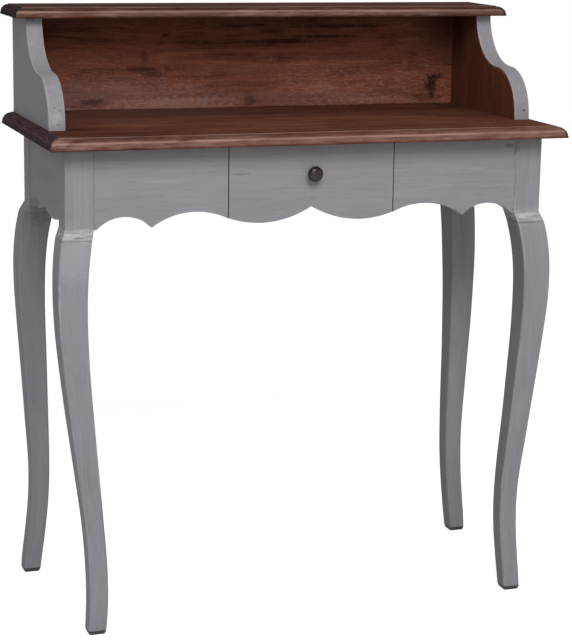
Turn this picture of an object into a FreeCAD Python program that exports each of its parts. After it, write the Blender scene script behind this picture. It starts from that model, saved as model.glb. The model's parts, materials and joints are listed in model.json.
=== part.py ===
import FreeCAD, Part
import math
import os
import Sketcher

# A small writing desk with a raised back shelf, in millimetres.
# X runs to the sitter's right, Y to the back and Z up.
# The origin is on the floor under the middle of the top.

SIZES = {
    # Top, shelf and the frame of legs
    "desk_height": 763.0,
    "top_width": 829.0,
    "top_depth": 372.0,
    "top_thick": 18.0,
    "top_lip": 3.0,
    "top_end_overhang": 28.0,
    "top_front_overhang": 36.5,
    "post_width": 44.0,
    "post_length": 121.0,
    # Curved legs: height, width and outward lean of each level
    "shoulder_drop": 16.0,
    "knee_height": 540.0,
    "calf_height": 410.0,
    "shin_height": 250.0,
    "ankle_height": 110.0,
    "foot_height": 40.0,
    "shoulder_width": 47.0,
    "knee_width": 46.0,
    "calf_width": 40.5,
    "shin_width": 33.5,
    "ankle_width": 29.7,
    "foot_width": 29.3,
    "toe_width": 28.0,
    "front_shoulder_side": 5.5,
    "front_knee_side": 14.0,
    "front_calf_side": 9.0,
    "front_shin_side": -8.0,
    "front_ankle_side": -20.0,
    "front_foot_side": -18.5,
    "front_toe_side": -15.5,
    "front_shoulder_fore": 6.0,
    "front_knee_fore": 17.5,
    "front_calf_fore": 19.5,
    "front_shin_fore": 21.0,
    "front_ankle_fore": 29.5,
    "front_foot_fore": 41.5,
    "front_toe_fore": 44.0,
    "back_shoulder_side": 5.5,
    "back_knee_side": 15.0,
    "back_calf_side": 15.0,
    "back_shin_side": 9.0,
    "back_ankle_side": 10.0,
    "back_foot_side": 18.0,
    "back_toe_side": 22.0,
    "back_shoulder_fore": 10.0,
    "back_knee_fore": 18.5,
    "back_calf_fore": 13.0,
    "back_shin_fore": 8.0,
    "back_ankle_fore": 5.5,
    "back_foot_fore": 7.5,
    "back_toe_fore": 8.0,
    "pad_width": 24.5,
    "pad_thick": 6.0,
    # Aprons and their tenons
    "apron_thick": 20.0,
    "apron_setback": 1.0,
    "back_apron_height": 100.0,
    "tenon_thick": 10.0,
    "tenon_length": 20.0,
    "tenon_height": 80.0,
    "tenon_drop": 15.0,
    "mortise_spare": 1.0,
    "block_reach": 70.0,
    "block_height": 40.0,
    "block_screw_inset": 12.0,
    # Scalloped lower edge of the front, as drops below the top and distances from the post or the drawer
    "land_width": 4.0,
    "land_drop": 123.0,
    "arch_inset": 42.0,
    "arch_drop": 105.0,
    "cusp_inset": 89.0,
    "cusp_drop": 122.5,
    "crest_inset": 61.0,
    "crest_drop": 101.5,
    "gap_drop": 113.0,
    "lobe_side": 76.0,
    "lobe_drop": 122.0,
    "notch_drop": 99.0,
    # Scalloped lower edge of the sides
    "side_end_drop": 110.0,
    "side_lobe_side": 54.0,
    "side_lobe_drop": 118.0,
    "side_notch_drop": 105.0,
    # Drawer and the case that carries it
    "drawer_width": 266.6,
    "drawer_tail_room": 23.5,
    "drawer_gap": 1.5,
    "drawer_head_gap": 2.0,
    "drawer_side_thick": 12.0,
    "drawer_side_height": 88.0,
    "drawer_rebate": 8.0,
    "drawer_back_thick": 12.0,
    "drawer_back_inset": 8.0,
    "drawer_back_drop": 5.0,
    "bottom_thick": 5.0,
    "bottom_rise": 8.0,
    "groove_depth": 5.0,
    "partition_thick": 20.0,
    "partition_height": 100.0,
    "runner_width": 16.0,
    "runner_height": 14.0,
    "runner_gap": 0.2,
    "stop_height": 25.0,
    "stop_gap": 0.3,
    # Knob
    "knob_radius": 12.0,
    "knob_length": 20.0,
    "knob_rim": 4.0,
    "knob_crown": 3.5,
    "knob_stem_radius": 5.0,
    "knob_foot_radius": 7.0,
    "knob_foot_thick": 2.0,
    "knob_drop": 47.5,
    "knob_bore_depth": 12.0,
    # Hutch: side brackets, back panel and shelf
    "hutch_height": 157.0,
    "hutch_inset": 19.5,
    "hutch_side_thick": 26.0,
    "nose_radius": 74.0,
    "neck_radius": 88.0,
    "ogee_height": 79.5,
    "ogee_from_back": 194.0,
    "panel_thick": 8.0,
    "panel_inset": 3.0,
    "panel_housing": 6.0,
    "shelf_depth": 127.0,
    "shelf_thick": 16.0,
    "shelf_lip": 3.0,
    # Dowels and screws
    "dowel_radius": 4.0,
    "dowel_length": 30.0,
    "case_dowel_bite": 12.0,
    "case_dowel_pitch": 50.0,
    "top_dowel_bite": 11.0,
    "shelf_dowel_bite": 9.0,
    "hutch_dowel_inset": 46.0,
    "hutch_dowel_pitch": 88.0,
    "shelf_dowel_pitch": 40.0,
    "screw_radius": 2.0,
    "screw_head_radius": 4.0,
    "screw_head_thick": 2.5,
    "runner_screw_length": 30.0,
    "runner_screw_spacing": 88.0,
    "top_screw_bite": 12.0,
    "knob_screw_bite": 11.0,
    "hole_clearance": 0.1,
}
LEVELS = ("shoulder", "knee", "calf", "shin", "ankle", "foot", "toe")
DIAGONAL = math.sqrt(0.5)
FOOT_DOWELS = 3
SHELF_DOWELS = 2


class Size:
    """A length that carries its value and the sheet formula that gives it."""

    def __init__(self, value, formula):
        self.value = value
        self.formula = formula

    def __add__(self, other):
        return combine(self, "+", other, self.value + as_size(other).value)

    def __sub__(self, other):
        return combine(self, "-", other, self.value - as_size(other).value)

    def __mul__(self, other):
        return combine(self, "*", other, self.value * as_size(other).value)

    def __truediv__(self, other):
        return combine(self, "/", other, self.value / as_size(other).value)

    def __neg__(self):
        return self * -1


def as_size(item):
    """A plain number as a Size; a Size stays itself."""
    if isinstance(item, Size):
        return item
    return Size(float(item), repr(float(item)))


def combine(left, sign, right, value):
    """The Size of a sum, difference, product or quotient."""
    return Size(value, f"({left.formula} {sign} {as_size(right).formula})")


def root(size):
    """The square root of a Size."""
    return Size(math.sqrt(size.value), f"sqrt({size.formula})")


class Sheet:
    """The document's sheet of driving sizes, read by name."""

    def __init__(self, document, sizes):
        cells = document.addObject("Spreadsheet::Sheet", "dims")
        for row, (name, value) in enumerate(sizes.items(), start=1):
            cells.set(f"A{row}", name)
            cells.set(f"B{row}", str(value))
            cells.setAlias(f"B{row}", name)
        document.recompute()

    def __getattr__(self, name):
        return Size(SIZES[name], f"dims.{name}")


doc = FreeCAD.newDocument("desk")
dim = Sheet(doc, SIZES)
pieces = {}

# Places that several pieces share
underside = dim.desk_height - dim.top_thick
post_bottom = underside - dim.post_length
post_outer_x = dim.top_width / 2 - dim.top_end_overhang
post_outer_y = dim.top_depth / 2 - dim.top_front_overhang
post_inner_x = post_outer_x - dim.post_width
post_inner_y = post_outer_y - dim.post_width
apron_face_y = post_outer_y - dim.apron_setback
apron_inside_y = apron_face_y - dim.apron_thick
apron_face_x = post_outer_x - dim.apron_setback
apron_inside_x = apron_face_x - dim.apron_thick
drawer_half = dim.drawer_width / 2
opening_half = drawer_half + dim.drawer_gap
top_back = dim.top_depth / 2
shelf_bottom = dim.desk_height + dim.hutch_height
hutch_outer_x = dim.top_width / 2 - dim.hutch_inset
hutch_inner_x = hutch_outer_x - dim.hutch_side_thick
hutch_middle_x = hutch_outer_x - dim.hutch_side_thick / 2
hole_radius = dim.dowel_radius + dim.hole_clearance


def bind(item, path, size):
    """Tie one property of an object to its formula."""
    item.setExpression(path, as_size(size).formula)


def place(item, x, y, z):
    """Tie an object's position to three sizes."""
    for axis, size in zip("xyz", (x, y, z)):
        bind(item, f"Placement.Base.{axis}", size)


def keep(label, item):
    """Name a finished sub-part and list it for writing."""
    item.Label = label
    pieces[label] = item
    return item


def block(name, low, high):
    """A board between two opposite corners."""
    board = doc.addObject("Part::Box", name)
    for path, lowest, highest in zip(("Length", "Width", "Height"), low, high):
        bind(board, path, as_size(highest) - lowest)
    place(board, *low)
    return board


def rod(name, radius, length, start, direction):
    """A round bar from a start point along a direction."""
    bar = doc.addObject("Part::Cylinder", name)
    bind(bar, "Radius", radius)
    bind(bar, "Height", length)
    turn = FreeCAD.Rotation(FreeCAD.Vector(0, 0, 1), FreeCAD.Vector(*direction))
    bar.Placement = FreeCAD.Placement(FreeCAD.Vector(), turn)
    place(bar, *start)
    return bar


def fuse(name, items):
    """One solid from pieces that touch or overlap."""
    whole = doc.addObject("Part::MultiFuse", name)
    whole.Shapes = items
    whole.Refine = True
    return whole


def cut(name, base, tools):
    """A piece with pockets, grooves or holes taken out of it."""
    tool = tools[0]
    if len(tools) > 1:
        tool = doc.addObject("Part::Compound", name + "_tools")
        tool.Links = tools
    result = doc.addObject("Part::Cut", name)
    result.Base = base
    result.Tool = tool
    return result


def mirrored(name, source):
    """The right-hand twin of a left-hand piece."""
    twin = doc.addObject("Part::Mirroring", name)
    twin.Source = source
    twin.Normal = FreeCAD.Vector(1, 0, 0)
    return twin


def keep_pair(stem, left):
    """List a left-hand piece and its mirrored twin."""
    keep(stem + "_left", left)
    keep(stem + "_right", mirrored(stem + "_twin", left))


def group(name, items):
    """Separate like solids that share one node."""
    bundle = doc.addObject("Part::Compound", name)
    bundle.Links = items
    return keep(name, bundle)


def via(u, v):
    """A point that bends the edge between its neighbours into an arc."""
    return ("via", u, v)


def vector(u, v):
    """A sketch point from two sizes."""
    return FreeCAD.Vector(as_size(u).value, as_size(v).value, 0)


def pin_point(sketch, geometry, end, u, v):
    """Tie a sketch point's distances from the sketch's origin to two sizes."""
    for kind, size in (("DistanceX", u), ("DistanceY", v)):
        size = as_size(size)
        rule = sketch.addConstraint(Sketcher.Constraint(kind, -1, 1, geometry, end, size.value))
        bind(sketch, f"Constraints[{rule}]", size)


def outline(body, name, plane, path, lift=0.0):
    """A closed sketch of straight edges, and of arcs where the path holds a via point."""
    sketch = body.newObject("Sketcher::SketchObject", name)
    support = next(item for item in body.Origin.OriginFeatures if item.Role == plane)
    sketch.AttachmentSupport = [(support, "")]
    sketch.MapMode = "FlatFace"
    bind(sketch, "AttachmentOffset.Base.z", lift)
    corners = [point for point in path if point[0] != "via"]
    bends = {}
    for index, point in enumerate(path):
        if point[0] == "via":
            bends[corners.index(path[index - 1])] = point[1:]
    ends = []
    for index, corner in enumerate(corners):
        start = vector(*corner)
        finish = vector(*corners[(index + 1) % len(corners)])
        if index in bends:
            edge = sketch.addGeometry(Part.Arc(start, vector(*bends[index]), finish))
        else:
            edge = sketch.addGeometry(Part.LineSegment(start, finish))
        first_gap = sketch.getPoint(edge, 1).distanceToPoint(start)
        second_gap = sketch.getPoint(edge, 2).distanceToPoint(start)
        ends.append((edge, 1, 2) if first_gap < second_gap else (edge, 2, 1))
    for index, (edge, first, last) in enumerate(ends):
        following, start_end, _ = ends[(index + 1) % len(ends)]
        sketch.addConstraint(Sketcher.Constraint("Coincident", edge, last, following, start_end))
        pin_point(sketch, edge, first, *corners[index])
        if index in bends:
            mark = sketch.addGeometry(Part.Point(vector(*bends[index])), True)
            pin_point(sketch, mark, 1, *bends[index])
            sketch.addConstraint(Sketcher.Constraint("PointOnObject", mark, 1, edge))
    return sketch


def new_body(name):
    """An empty body for sketched features."""
    return doc.addObject("PartDesign::Body", name)


def pad(body, sketch, thickness):
    """Thicken a sketch away from its plane, along the plane's normal."""
    feature = body.newObject("PartDesign::Pad", body.Name + "_pad")
    feature.Profile = sketch
    bind(feature, "Length", thickness)
    return feature


def loft(body, name, sketches, ruled):
    """A skin through a row of sketches, straight or smooth from one to the next."""
    feature = body.newObject("PartDesign::AdditiveLoft", name)
    feature.Profile = sketches[0]
    feature.Sections = sketches[1:]
    feature.Ruled = ruled
    return feature


def square(body, name, middle_x, middle_y, width, height):
    """A square section of a leg at one height."""
    left = middle_x - width / 2
    right = middle_x + width / 2
    near = middle_y - width / 2
    far = middle_y + width / 2
    return outline(body, name, "XY_Plane", [(left, near), (right, near), (right, far), (left, far)], height)


def leg_level(pair, level, fore):
    """Middle, width and height of the left leg's section at a named level."""
    heights = {
        "shoulder": post_bottom - dim.shoulder_drop,
        "knee": dim.knee_height,
        "calf": dim.calf_height,
        "shin": dim.shin_height,
        "ankle": dim.ankle_height,
        "foot": dim.foot_height,
        "toe": dim.pad_thick,
    }
    middle_x = post_inner_x + dim.post_width / 2 + getattr(dim, f"{pair}_{level}_side")
    middle_y = post_inner_y + dim.post_width / 2 + getattr(dim, f"{pair}_{level}_fore")
    return -middle_x, middle_y * fore, getattr(dim, f"{level}_width"), heights[level]


def left_leg(pair, fore):
    """Square post, sloping shoulder and a leg sawn to a curve on all four faces; fore is -1 at the front."""
    body = new_body(f"leg_{pair}")
    post_x = -(post_inner_x + dim.post_width / 2)
    post_y = (post_inner_y + dim.post_width / 2) * fore
    post = square(body, f"{pair}_post", post_x, post_y, dim.post_width, post_bottom)
    pad(body, post, dim.post_length)
    sections = []
    for level in LEVELS:
        sections.append(square(body, f"{pair}_{level}", *leg_level(pair, level, fore)))
    loft(body, f"{pair}_shoulder_slope", [post, sections[0]], True)
    loft(body, f"{pair}_curve", sections, False)
    return body


def in_order(first, second):
    """Two sizes, the lower one first."""
    return sorted((first, second), key=lambda size: size.value)


def tenon_heights():
    """Lower and upper edges of every apron tenon."""
    top = underside - dim.tenon_drop
    return top - dim.tenon_height, top


def cross_tenon(name, fore, spare=0.0):
    """Tongue of the front or back apron in the left post, or its mortise when spare is more than nothing."""
    shoulder = (dim.apron_thick - dim.tenon_thick) / 2
    near, far = in_order((apron_inside_y + shoulder) * fore, (apron_face_y - shoulder) * fore)
    bottom, top = tenon_heights()
    tip = post_inner_x + dim.tenon_length + spare
    return block(name, (-tip, near, bottom), (-post_inner_x, far, top))


def side_tenon(name, fore, spare=0.0):
    """Tongue of the left side apron in the front or back post, or its mortise."""
    shoulder = (dim.apron_thick - dim.tenon_thick) / 2
    tip = post_inner_y + dim.tenon_length + spare
    near, far = in_order(post_inner_y * fore, tip * fore)
    bottom, top = tenon_heights()
    return block(name, (-(apron_face_x - shoulder), near, bottom), (-(apron_inside_x + shoulder), far, top))


def foot_pad(pair, fore):
    """Tapered pad under the left leg."""
    body = new_body(f"pad_{pair}")
    middle_x, middle_y, width, height = leg_level(pair, "toe", fore)
    top = square(body, f"pad_{pair}_top", middle_x, middle_y, width, height)
    bottom = square(body, f"pad_{pair}_bottom", middle_x, middle_y, dim.pad_width, 0.0)
    loft(body, f"pad_{pair}_taper", [top, bottom], True)
    return body


def make_legs():
    """Four legs with mortises, each on a tapered pad."""
    pads = []
    for pair, fore in (("front", -1), ("back", 1)):
        mortises = [
            cross_tenon(f"{pair}_cross_mortise", fore, dim.mortise_spare),
            side_tenon(f"{pair}_side_mortise", fore, dim.mortise_spare),
        ]
        leg = cut(f"leg_{pair}_left", left_leg(pair, fore), mortises)
        keep_pair(f"leg_{pair}", leg)
        pad_left = foot_pad(pair, fore)
        pads += [pad_left, mirrored(f"pad_{pair}_twin", pad_left)]
    group("foot_pads", pads)


def make_aprons():
    """Scalloped front boards either side of the drawer, lobed sides, plain back and four glue blocks."""
    land_z = underside - dim.land_drop
    gap_z = underside - dim.gap_drop
    front = new_body("front_apron_board")
    path = [
        (-opening_half, underside),
        (-post_inner_x, underside),
        (-post_inner_x, land_z),
        (-(post_inner_x - dim.land_width), land_z),
        via(-(post_inner_x - dim.arch_inset), underside - dim.arch_drop),
        (-(post_inner_x - dim.cusp_inset), underside - dim.cusp_drop),
        via(-(opening_half + dim.crest_inset), underside - dim.crest_drop),
        (-opening_half, gap_z),
    ]
    pad(front, outline(front, "front_apron_outline", "XZ_Plane", path, apron_inside_y), dim.apron_thick)
    holes = [case_dowel(f"front_hole_{row}", -1, -1, row, hole_radius) for row in (0, 1)]
    board = fuse("front_apron_whole", [front, cross_tenon("front_tenon", -1)])
    keep_pair("front_apron", cut("front_apron_bored", board, holes))

    side = new_body("side_apron_board")
    end_z = underside - dim.side_end_drop
    lobe_z = underside - dim.side_lobe_drop
    path = [
        (-post_inner_y, underside),
        (-post_inner_y, end_z),
        via(-dim.side_lobe_side, lobe_z),
        (0.0, underside - dim.side_notch_drop),
        via(dim.side_lobe_side, lobe_z),
        (post_inner_y, end_z),
        (post_inner_y, underside),
    ]
    pad(side, outline(side, "side_apron_outline", "YZ_Plane", path, -apron_face_x), dim.apron_thick)
    tenons = [side_tenon("side_front_tenon", -1), side_tenon("side_back_tenon", 1)]
    keep_pair("side_apron", fuse("side_apron_whole", [side] + tenons))

    low = (-post_inner_x, apron_inside_y, underside - dim.back_apron_height)
    board = block("back_apron_board", low, (post_inner_x, apron_face_y, underside))
    tongue = cross_tenon("back_tenon", 1)
    whole = fuse("back_apron_whole", [board, tongue, mirrored("back_tenon_twin", tongue)])
    holes = []
    for row in (0, 1):
        hole = case_dowel(f"back_hole_{row}", -1, 1, row, hole_radius)
        holes += [hole, mirrored(f"back_hole_{row}_twin", hole)]
    keep("back_apron", cut("back_apron_bored", whole, holes))
    make_corner_blocks()


def make_corner_blocks():
    """Glue blocks behind the posts, each with a screw up into the top."""
    reach = dim.block_reach
    screws = []
    for pair, fore in (("front", -1), ("back", 1)):
        body = new_body(f"corner_block_{pair}_blank")
        path = [
            (-post_inner_x, apron_inside_y * fore),
            (-(post_inner_x - reach), apron_inside_y * fore),
            (-apron_inside_x, (post_inner_y - reach) * fore),
            (-apron_inside_x, post_inner_y * fore),
            (-post_inner_x, post_inner_y * fore),
        ]
        sketch = outline(body, f"corner_block_{pair}_outline", "XY_Plane", path, underside - dim.block_height)
        pad(body, sketch, dim.block_height)
        hole = top_screw(f"block_hole_{pair}", -1, fore, dim.hole_clearance)
        keep_pair(f"corner_block_{pair}", cut(f"corner_block_{pair}_bored", body, [hole]))
        for side in (-1, 1):
            screws.append(top_screw(f"top_screw_{pair}_{side}", side, fore, 0.0))
    group("top_screws", screws)


def screw(name, length, start, direction, clearance):
    """Countersunk screw from the flat of its head, or its hole when clearance is more than nothing."""
    head = doc.addObject("Part::Cone", name + "_head")
    bind(head, "Radius1", dim.screw_head_radius + clearance)
    bind(head, "Radius2", dim.screw_radius + clearance)
    bind(head, "Height", dim.screw_head_thick)
    shank = rod(name + "_shank", dim.screw_radius + clearance, length, (0.0, 0.0, 0.0), (0, 0, 1))
    whole = fuse(name, [head, shank])
    turn = FreeCAD.Rotation(FreeCAD.Vector(0, 0, 1), FreeCAD.Vector(*direction))
    whole.Placement = FreeCAD.Placement(FreeCAD.Vector(), turn)
    place(whole, *start)
    return whole


def top_screw(name, side, fore, clearance):
    """Screw through a glue block into the top."""
    middle_x = (post_inner_x - dim.block_screw_inset) * side
    middle_y = (post_inner_y - dim.block_screw_inset) * fore
    length = dim.block_height + dim.top_screw_bite + clearance
    return screw(name, length, (middle_x, middle_y, underside - dim.block_height), (0, 0, 1), clearance)


def case_dowel(name, side, fore, row, radius, spare=dim.hole_clearance):
    """Dowel between a drawer partition and the front or back apron, or its hole."""
    middle_x = (opening_half + dim.partition_thick / 2) * side
    middle_z = underside - (dim.partition_height - dim.case_dowel_pitch) / 2 - dim.case_dowel_pitch * row
    bite = dim.case_dowel_bite + spare
    start = (middle_x, (apron_inside_y + bite) * fore, middle_z)
    return rod(name, radius, dim.dowel_length + spare * 2, start, (0, -fore, 0))


def runner_screw(name, side, row, clearance):
    """Screw through a runner into its partition."""
    face_x = (opening_half - dim.runner_width) * side
    middle_y = dim.runner_screw_spacing * row
    middle_z = runner_top() - dim.runner_height / 2
    length = dim.runner_screw_length + clearance
    return screw(name, length, (face_x, middle_y, middle_z), (side, 0, 0), clearance)


def drawer_head():
    """Height of the upper edges of the drawer's front and sides."""
    return underside - dim.drawer_head_gap


def drawer_floor():
    """Height of the lower edges of the drawer's sides."""
    return drawer_head() - dim.drawer_side_height


def drawer_tail():
    """Back end of the drawer's sides."""
    return apron_inside_y - dim.drawer_tail_room


def runner_top():
    """Height of the faces that the drawer slides on."""
    return drawer_floor() - dim.runner_gap


def make_drawer_case():
    """Partitions beside the drawer, with the runners under it and the stops behind it."""
    low = (-(opening_half + dim.partition_thick), -apron_inside_y, underside - dim.partition_height)
    board = block("partition_board", low, (-opening_half, apron_inside_y, underside))
    holes = []
    dowels = []
    for fore in (-1, 1):
        for row in (0, 1):
            holes.append(case_dowel(f"partition_hole_{fore}_{row}", -1, fore, row, hole_radius))
            for side in (-1, 1):
                name = f"case_dowel_{side}_{fore}_{row}"
                dowels.append(case_dowel(name, side, fore, row, dim.dowel_radius, 0.0))
    group("case_dowels", dowels)

    rows = (-1, 0, 1)
    screw_holes = [runner_screw(f"runner_hole_{row}", -1, row, dim.hole_clearance) for row in rows]
    keep_pair("drawer_partition", cut("partition_bored", board, holes + screw_holes))
    top = runner_top()
    low = (-opening_half, -apron_inside_y + dim.drawer_gap, top - dim.runner_height)
    strip = block("runner_strip", low, (-(opening_half - dim.runner_width), apron_inside_y, top))
    keep_pair("drawer_runner", cut("runner_bored", strip, screw_holes))
    screws = [runner_screw(f"runner_screw_{side}_{row}", side, row, 0.0) for side in (-1, 1) for row in rows]
    group("runner_screws", screws)

    low = (-opening_half, drawer_tail() + dim.stop_gap, top)
    high = (-(opening_half - dim.runner_width), apron_inside_y, top + dim.stop_height)
    keep_pair("drawer_stop", block("stop_block", low, high))


def make_drawer():
    """Scalloped front, rebated sides, housed back and a thin bottom in grooves."""
    floor = drawer_floor()
    head = drawer_head()
    inner_half = drawer_half - dim.drawer_side_thick
    housed_half = inner_half + dim.groove_depth
    bottom_z = floor + dim.bottom_rise
    bottom_top = bottom_z + dim.bottom_thick
    rebate_y = -apron_inside_y - dim.drawer_rebate
    tail = drawer_tail()
    back_rear = tail - dim.drawer_back_inset
    back_face = back_rear - dim.drawer_back_thick

    front = new_body("drawer_front_board")
    gap_z = underside - dim.gap_drop
    lobe_z = underside - dim.lobe_drop
    path = [
        (-drawer_half, head),
        (-drawer_half, gap_z),
        via(-dim.lobe_side, lobe_z),
        (0.0, underside - dim.notch_drop),
        via(dim.lobe_side, lobe_z),
        (drawer_half, gap_z),
        (drawer_half, head),
    ]
    pad(front, outline(front, "drawer_front_outline", "XZ_Plane", path, apron_inside_y), dim.apron_thick)
    left_rebate = block(
        "front_rebate", (-drawer_half, rebate_y, floor), (-inner_half, -apron_inside_y, head))
    low = (-housed_half, -apron_inside_y - dim.groove_depth, bottom_z)
    groove = block("front_groove", low, (housed_half, -apron_inside_y, bottom_top))
    bore = knob_hole("front_bore", dim.screw_radius + dim.hole_clearance * 2)
    tools = [left_rebate, mirrored("front_rebate_twin", left_rebate), groove, bore]
    keep("drawer_front", cut("drawer_front_cut", front, [fuse("drawer_front_tools", tools)]))

    side = block("drawer_side_board", (-drawer_half, rebate_y, floor), (-inner_half, tail, head))
    groove = block("side_groove", (-housed_half, rebate_y, bottom_z), (-inner_half, tail, bottom_top))
    housing = block("side_housing", (-housed_half, back_face, bottom_top), (-inner_half, back_rear, head))
    keep_pair("drawer_side", cut("drawer_side_cut", side, [fuse("drawer_side_tools", [groove, housing])]))

    high = (housed_half, back_rear, head - dim.drawer_back_drop)
    keep("drawer_back", block("drawer_back_board", (-housed_half, back_face, bottom_top), high))
    low = (-housed_half, -apron_inside_y - dim.groove_depth, bottom_z)
    keep("drawer_bottom", block("drawer_bottom_board", low, (housed_half, back_rear, bottom_top)))
    make_knob()


def knob_hole(name, radius):
    """Round hole through the drawer front behind the knob."""
    return rod(name, radius, dim.apron_thick, (0.0, -apron_face_y, underside - dim.knob_drop), (0, 1, 0))


def make_knob():
    """Turned button knob with a waisted stem, held by a pan-head screw from inside the drawer."""
    body = new_body("drawer_knob_turned")
    rim_back = dim.knob_length - dim.knob_crown - dim.knob_rim
    bore = dim.screw_radius + dim.hole_clearance
    waist = (dim.knob_foot_thick + rim_back) / 2
    crown_ball = (dim.knob_radius * dim.knob_radius + dim.knob_crown * dim.knob_crown) / (dim.knob_crown * 2)
    half_radius = dim.knob_radius / 2
    crown_fall = crown_ball - root(crown_ball * crown_ball - half_radius * half_radius)
    path = [
        (bore, 0.0),
        (dim.knob_foot_radius, 0.0),
        (dim.knob_foot_radius, -dim.knob_foot_thick),
        via(dim.knob_stem_radius, -waist),
        (dim.knob_radius, -rim_back),
        (dim.knob_radius, -(rim_back + dim.knob_rim)),
        via(half_radius, -(dim.knob_length - crown_fall)),
        (0.0, -dim.knob_length),
        (0.0, -dim.knob_bore_depth),
        (bore, -dim.knob_bore_depth),
    ]
    turning = body.newObject("PartDesign::Revolution", "knob_turning")
    profile = outline(body, "knob_profile", "XY_Plane", path)
    turning.Profile = profile
    turning.ReferenceAxis = (profile, ["V_Axis"])
    middle_z = underside - dim.knob_drop
    place(body, 0.0, -apron_face_y, middle_z)
    keep("drawer_knob", body)

    shank_length = dim.apron_thick + dim.knob_screw_bite
    seat = (0.0, -apron_inside_y, middle_z)
    shank = rod("knob_shank", dim.screw_radius, shank_length, seat, (0, -1, 0))
    head = rod("knob_screw_head", dim.screw_head_radius, dim.screw_head_thick, seat, (0, 1, 0))
    keep("knob_screw", fuse("knob_screw_whole", [shank, head]))


def moulded_board(name, half_width, front_y, bottom_z, thickness, lip):
    """Board whose front and end edges are rounded over above a small square lip."""
    top_z = bottom_z + thickness
    round_over = thickness - lip
    shoulder = bottom_z + lip
    slack = round_over * (1 - DIAGONAL)
    body = new_body(name)
    path = [
        (front_y, bottom_z),
        (top_back, bottom_z),
        (top_back, top_z),
        (front_y + round_over, top_z),
        via(front_y + slack, top_z - slack),
        (front_y, shoulder),
    ]
    profile = outline(body, name + "_profile", "YZ_Plane", path, -half_width)
    pad(body, profile, half_width * 2)
    ends = []
    for word, side in (("left", -1), ("right", 1)):
        end = new_body(f"{name}_{word}_waste")
        path = [
            (half_width * side, shoulder),
            (half_width * side, top_z),
            ((half_width - round_over) * side, top_z),
            via((half_width - slack) * side, top_z - slack),
        ]
        waste = outline(end, f"{name}_{word}_corner", "XZ_Plane", path, -top_back)
        pad(end, waste, top_back - front_y)
        ends.append(end)
    return body, ends


def hutch_dowels(stem, pitch, count, bottom_z, radius, length):
    """Upright dowels along both hutch sides, or their holes, counted from the back."""
    rods = []
    for word, side in (("left", -1), ("right", 1)):
        for index in range(count):
            spot = (hutch_middle_x * side, top_back - dim.hutch_dowel_inset - pitch * index, bottom_z)
            rods.append(rod(f"{stem}_{word}_{index}", radius, length, spot, (0, 0, 1)))
    return rods


def make_top_and_hutch():
    """Moulded top, curved side brackets, back panel housed between them and the moulded shelf."""
    spare = dim.hole_clearance
    foot_z = dim.desk_height - dim.top_dowel_bite
    head_z = shelf_bottom + dim.shelf_dowel_bite - dim.dowel_length
    foot_row = (dim.hutch_dowel_pitch, FOOT_DOWELS)
    shelf_row = (dim.shelf_dowel_pitch, SHELF_DOWELS)
    hole_length = dim.dowel_length + spare * 2
    foot_holes = hutch_dowels("foot_hole", *foot_row, foot_z - spare, hole_radius, hole_length)
    shelf_holes = hutch_dowels("shelf_hole", *shelf_row, head_z - spare, hole_radius, hole_length)
    foot_dowels = hutch_dowels("hutch_dowel", *foot_row, foot_z, dim.dowel_radius, dim.dowel_length)
    shelf_dowels = hutch_dowels("shelf_dowel", *shelf_row, head_z, dim.dowel_radius, dim.dowel_length)
    group("hutch_dowels", foot_dowels)
    group("shelf_dowels", shelf_dowels)

    half = dim.top_width / 2
    edge = (dim.top_thick, dim.top_lip)
    board, waste = moulded_board("desk_top_board", half, -top_back, underside, *edge)
    screw_holes = [
        top_screw(f"top_hole_{side}_{fore}", side, fore, spare) for side in (-1, 1) for fore in (-1, 1)]
    keep("desk_top", cut("desk_top_cut", board, waste + foot_holes + screw_holes))

    side = new_body("hutch_side_board")
    ogee_y = top_back - dim.ogee_from_back
    ogee_z = dim.desk_height + dim.ogee_height
    nose = dim.nose_radius
    neck = dim.neck_radius
    nose_drop = dim.ogee_height - nose
    neck_drop = neck - (dim.hutch_height - dim.ogee_height)
    path = [
        (ogee_y - root(nose * nose - nose_drop * nose_drop), dim.desk_height),
        (top_back, dim.desk_height),
        (top_back, shelf_bottom),
        (ogee_y + root(neck * neck - neck_drop * neck_drop), shelf_bottom),
        via(ogee_y + neck * DIAGONAL, ogee_z + neck * (1 - DIAGONAL)),
        (ogee_y, ogee_z),
        via(ogee_y - nose * DIAGONAL, ogee_z - nose * (1 - DIAGONAL)),
    ]
    pad(side, outline(side, "hutch_side_outline", "YZ_Plane", path, -hutch_outer_x), dim.hutch_side_thick)
    panel_rear = top_back - dim.panel_inset
    panel_face = panel_rear - dim.panel_thick
    panel_half = hutch_inner_x + dim.panel_housing
    low = (-panel_half, panel_face, dim.desk_height)
    housing = block("panel_housing", low, (-hutch_inner_x, panel_rear, shelf_bottom))
    left_holes = foot_holes[:FOOT_DOWELS] + shelf_holes[:SHELF_DOWELS]
    keep_pair("hutch_side", cut("hutch_side_cut", side, [housing] + left_holes))
    keep("hutch_back_panel", block("panel_board", low, (panel_half, panel_rear, shelf_bottom)))

    shelf_front = top_back - dim.shelf_depth
    edge = (dim.shelf_thick, dim.shelf_lip)
    board, waste = moulded_board("shelf_board", half, shelf_front, shelf_bottom, *edge)
    keep("top_shelf", cut("top_shelf_cut", board, waste + shelf_holes))


def check_document():
    """Stop on any failed feature or unsound sub-part."""
    for item in doc.Objects:
        if "Invalid" in item.State or "Error" in item.State:
            raise RuntimeError(f"{item.Name} failed: {item.State}")
    for label, item in pieces.items():
        if item.Shape.isNull() or not item.Shape.isValid() or not item.Shape.Solids:
            raise RuntimeError(f"{label} has no sound solid")


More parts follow.
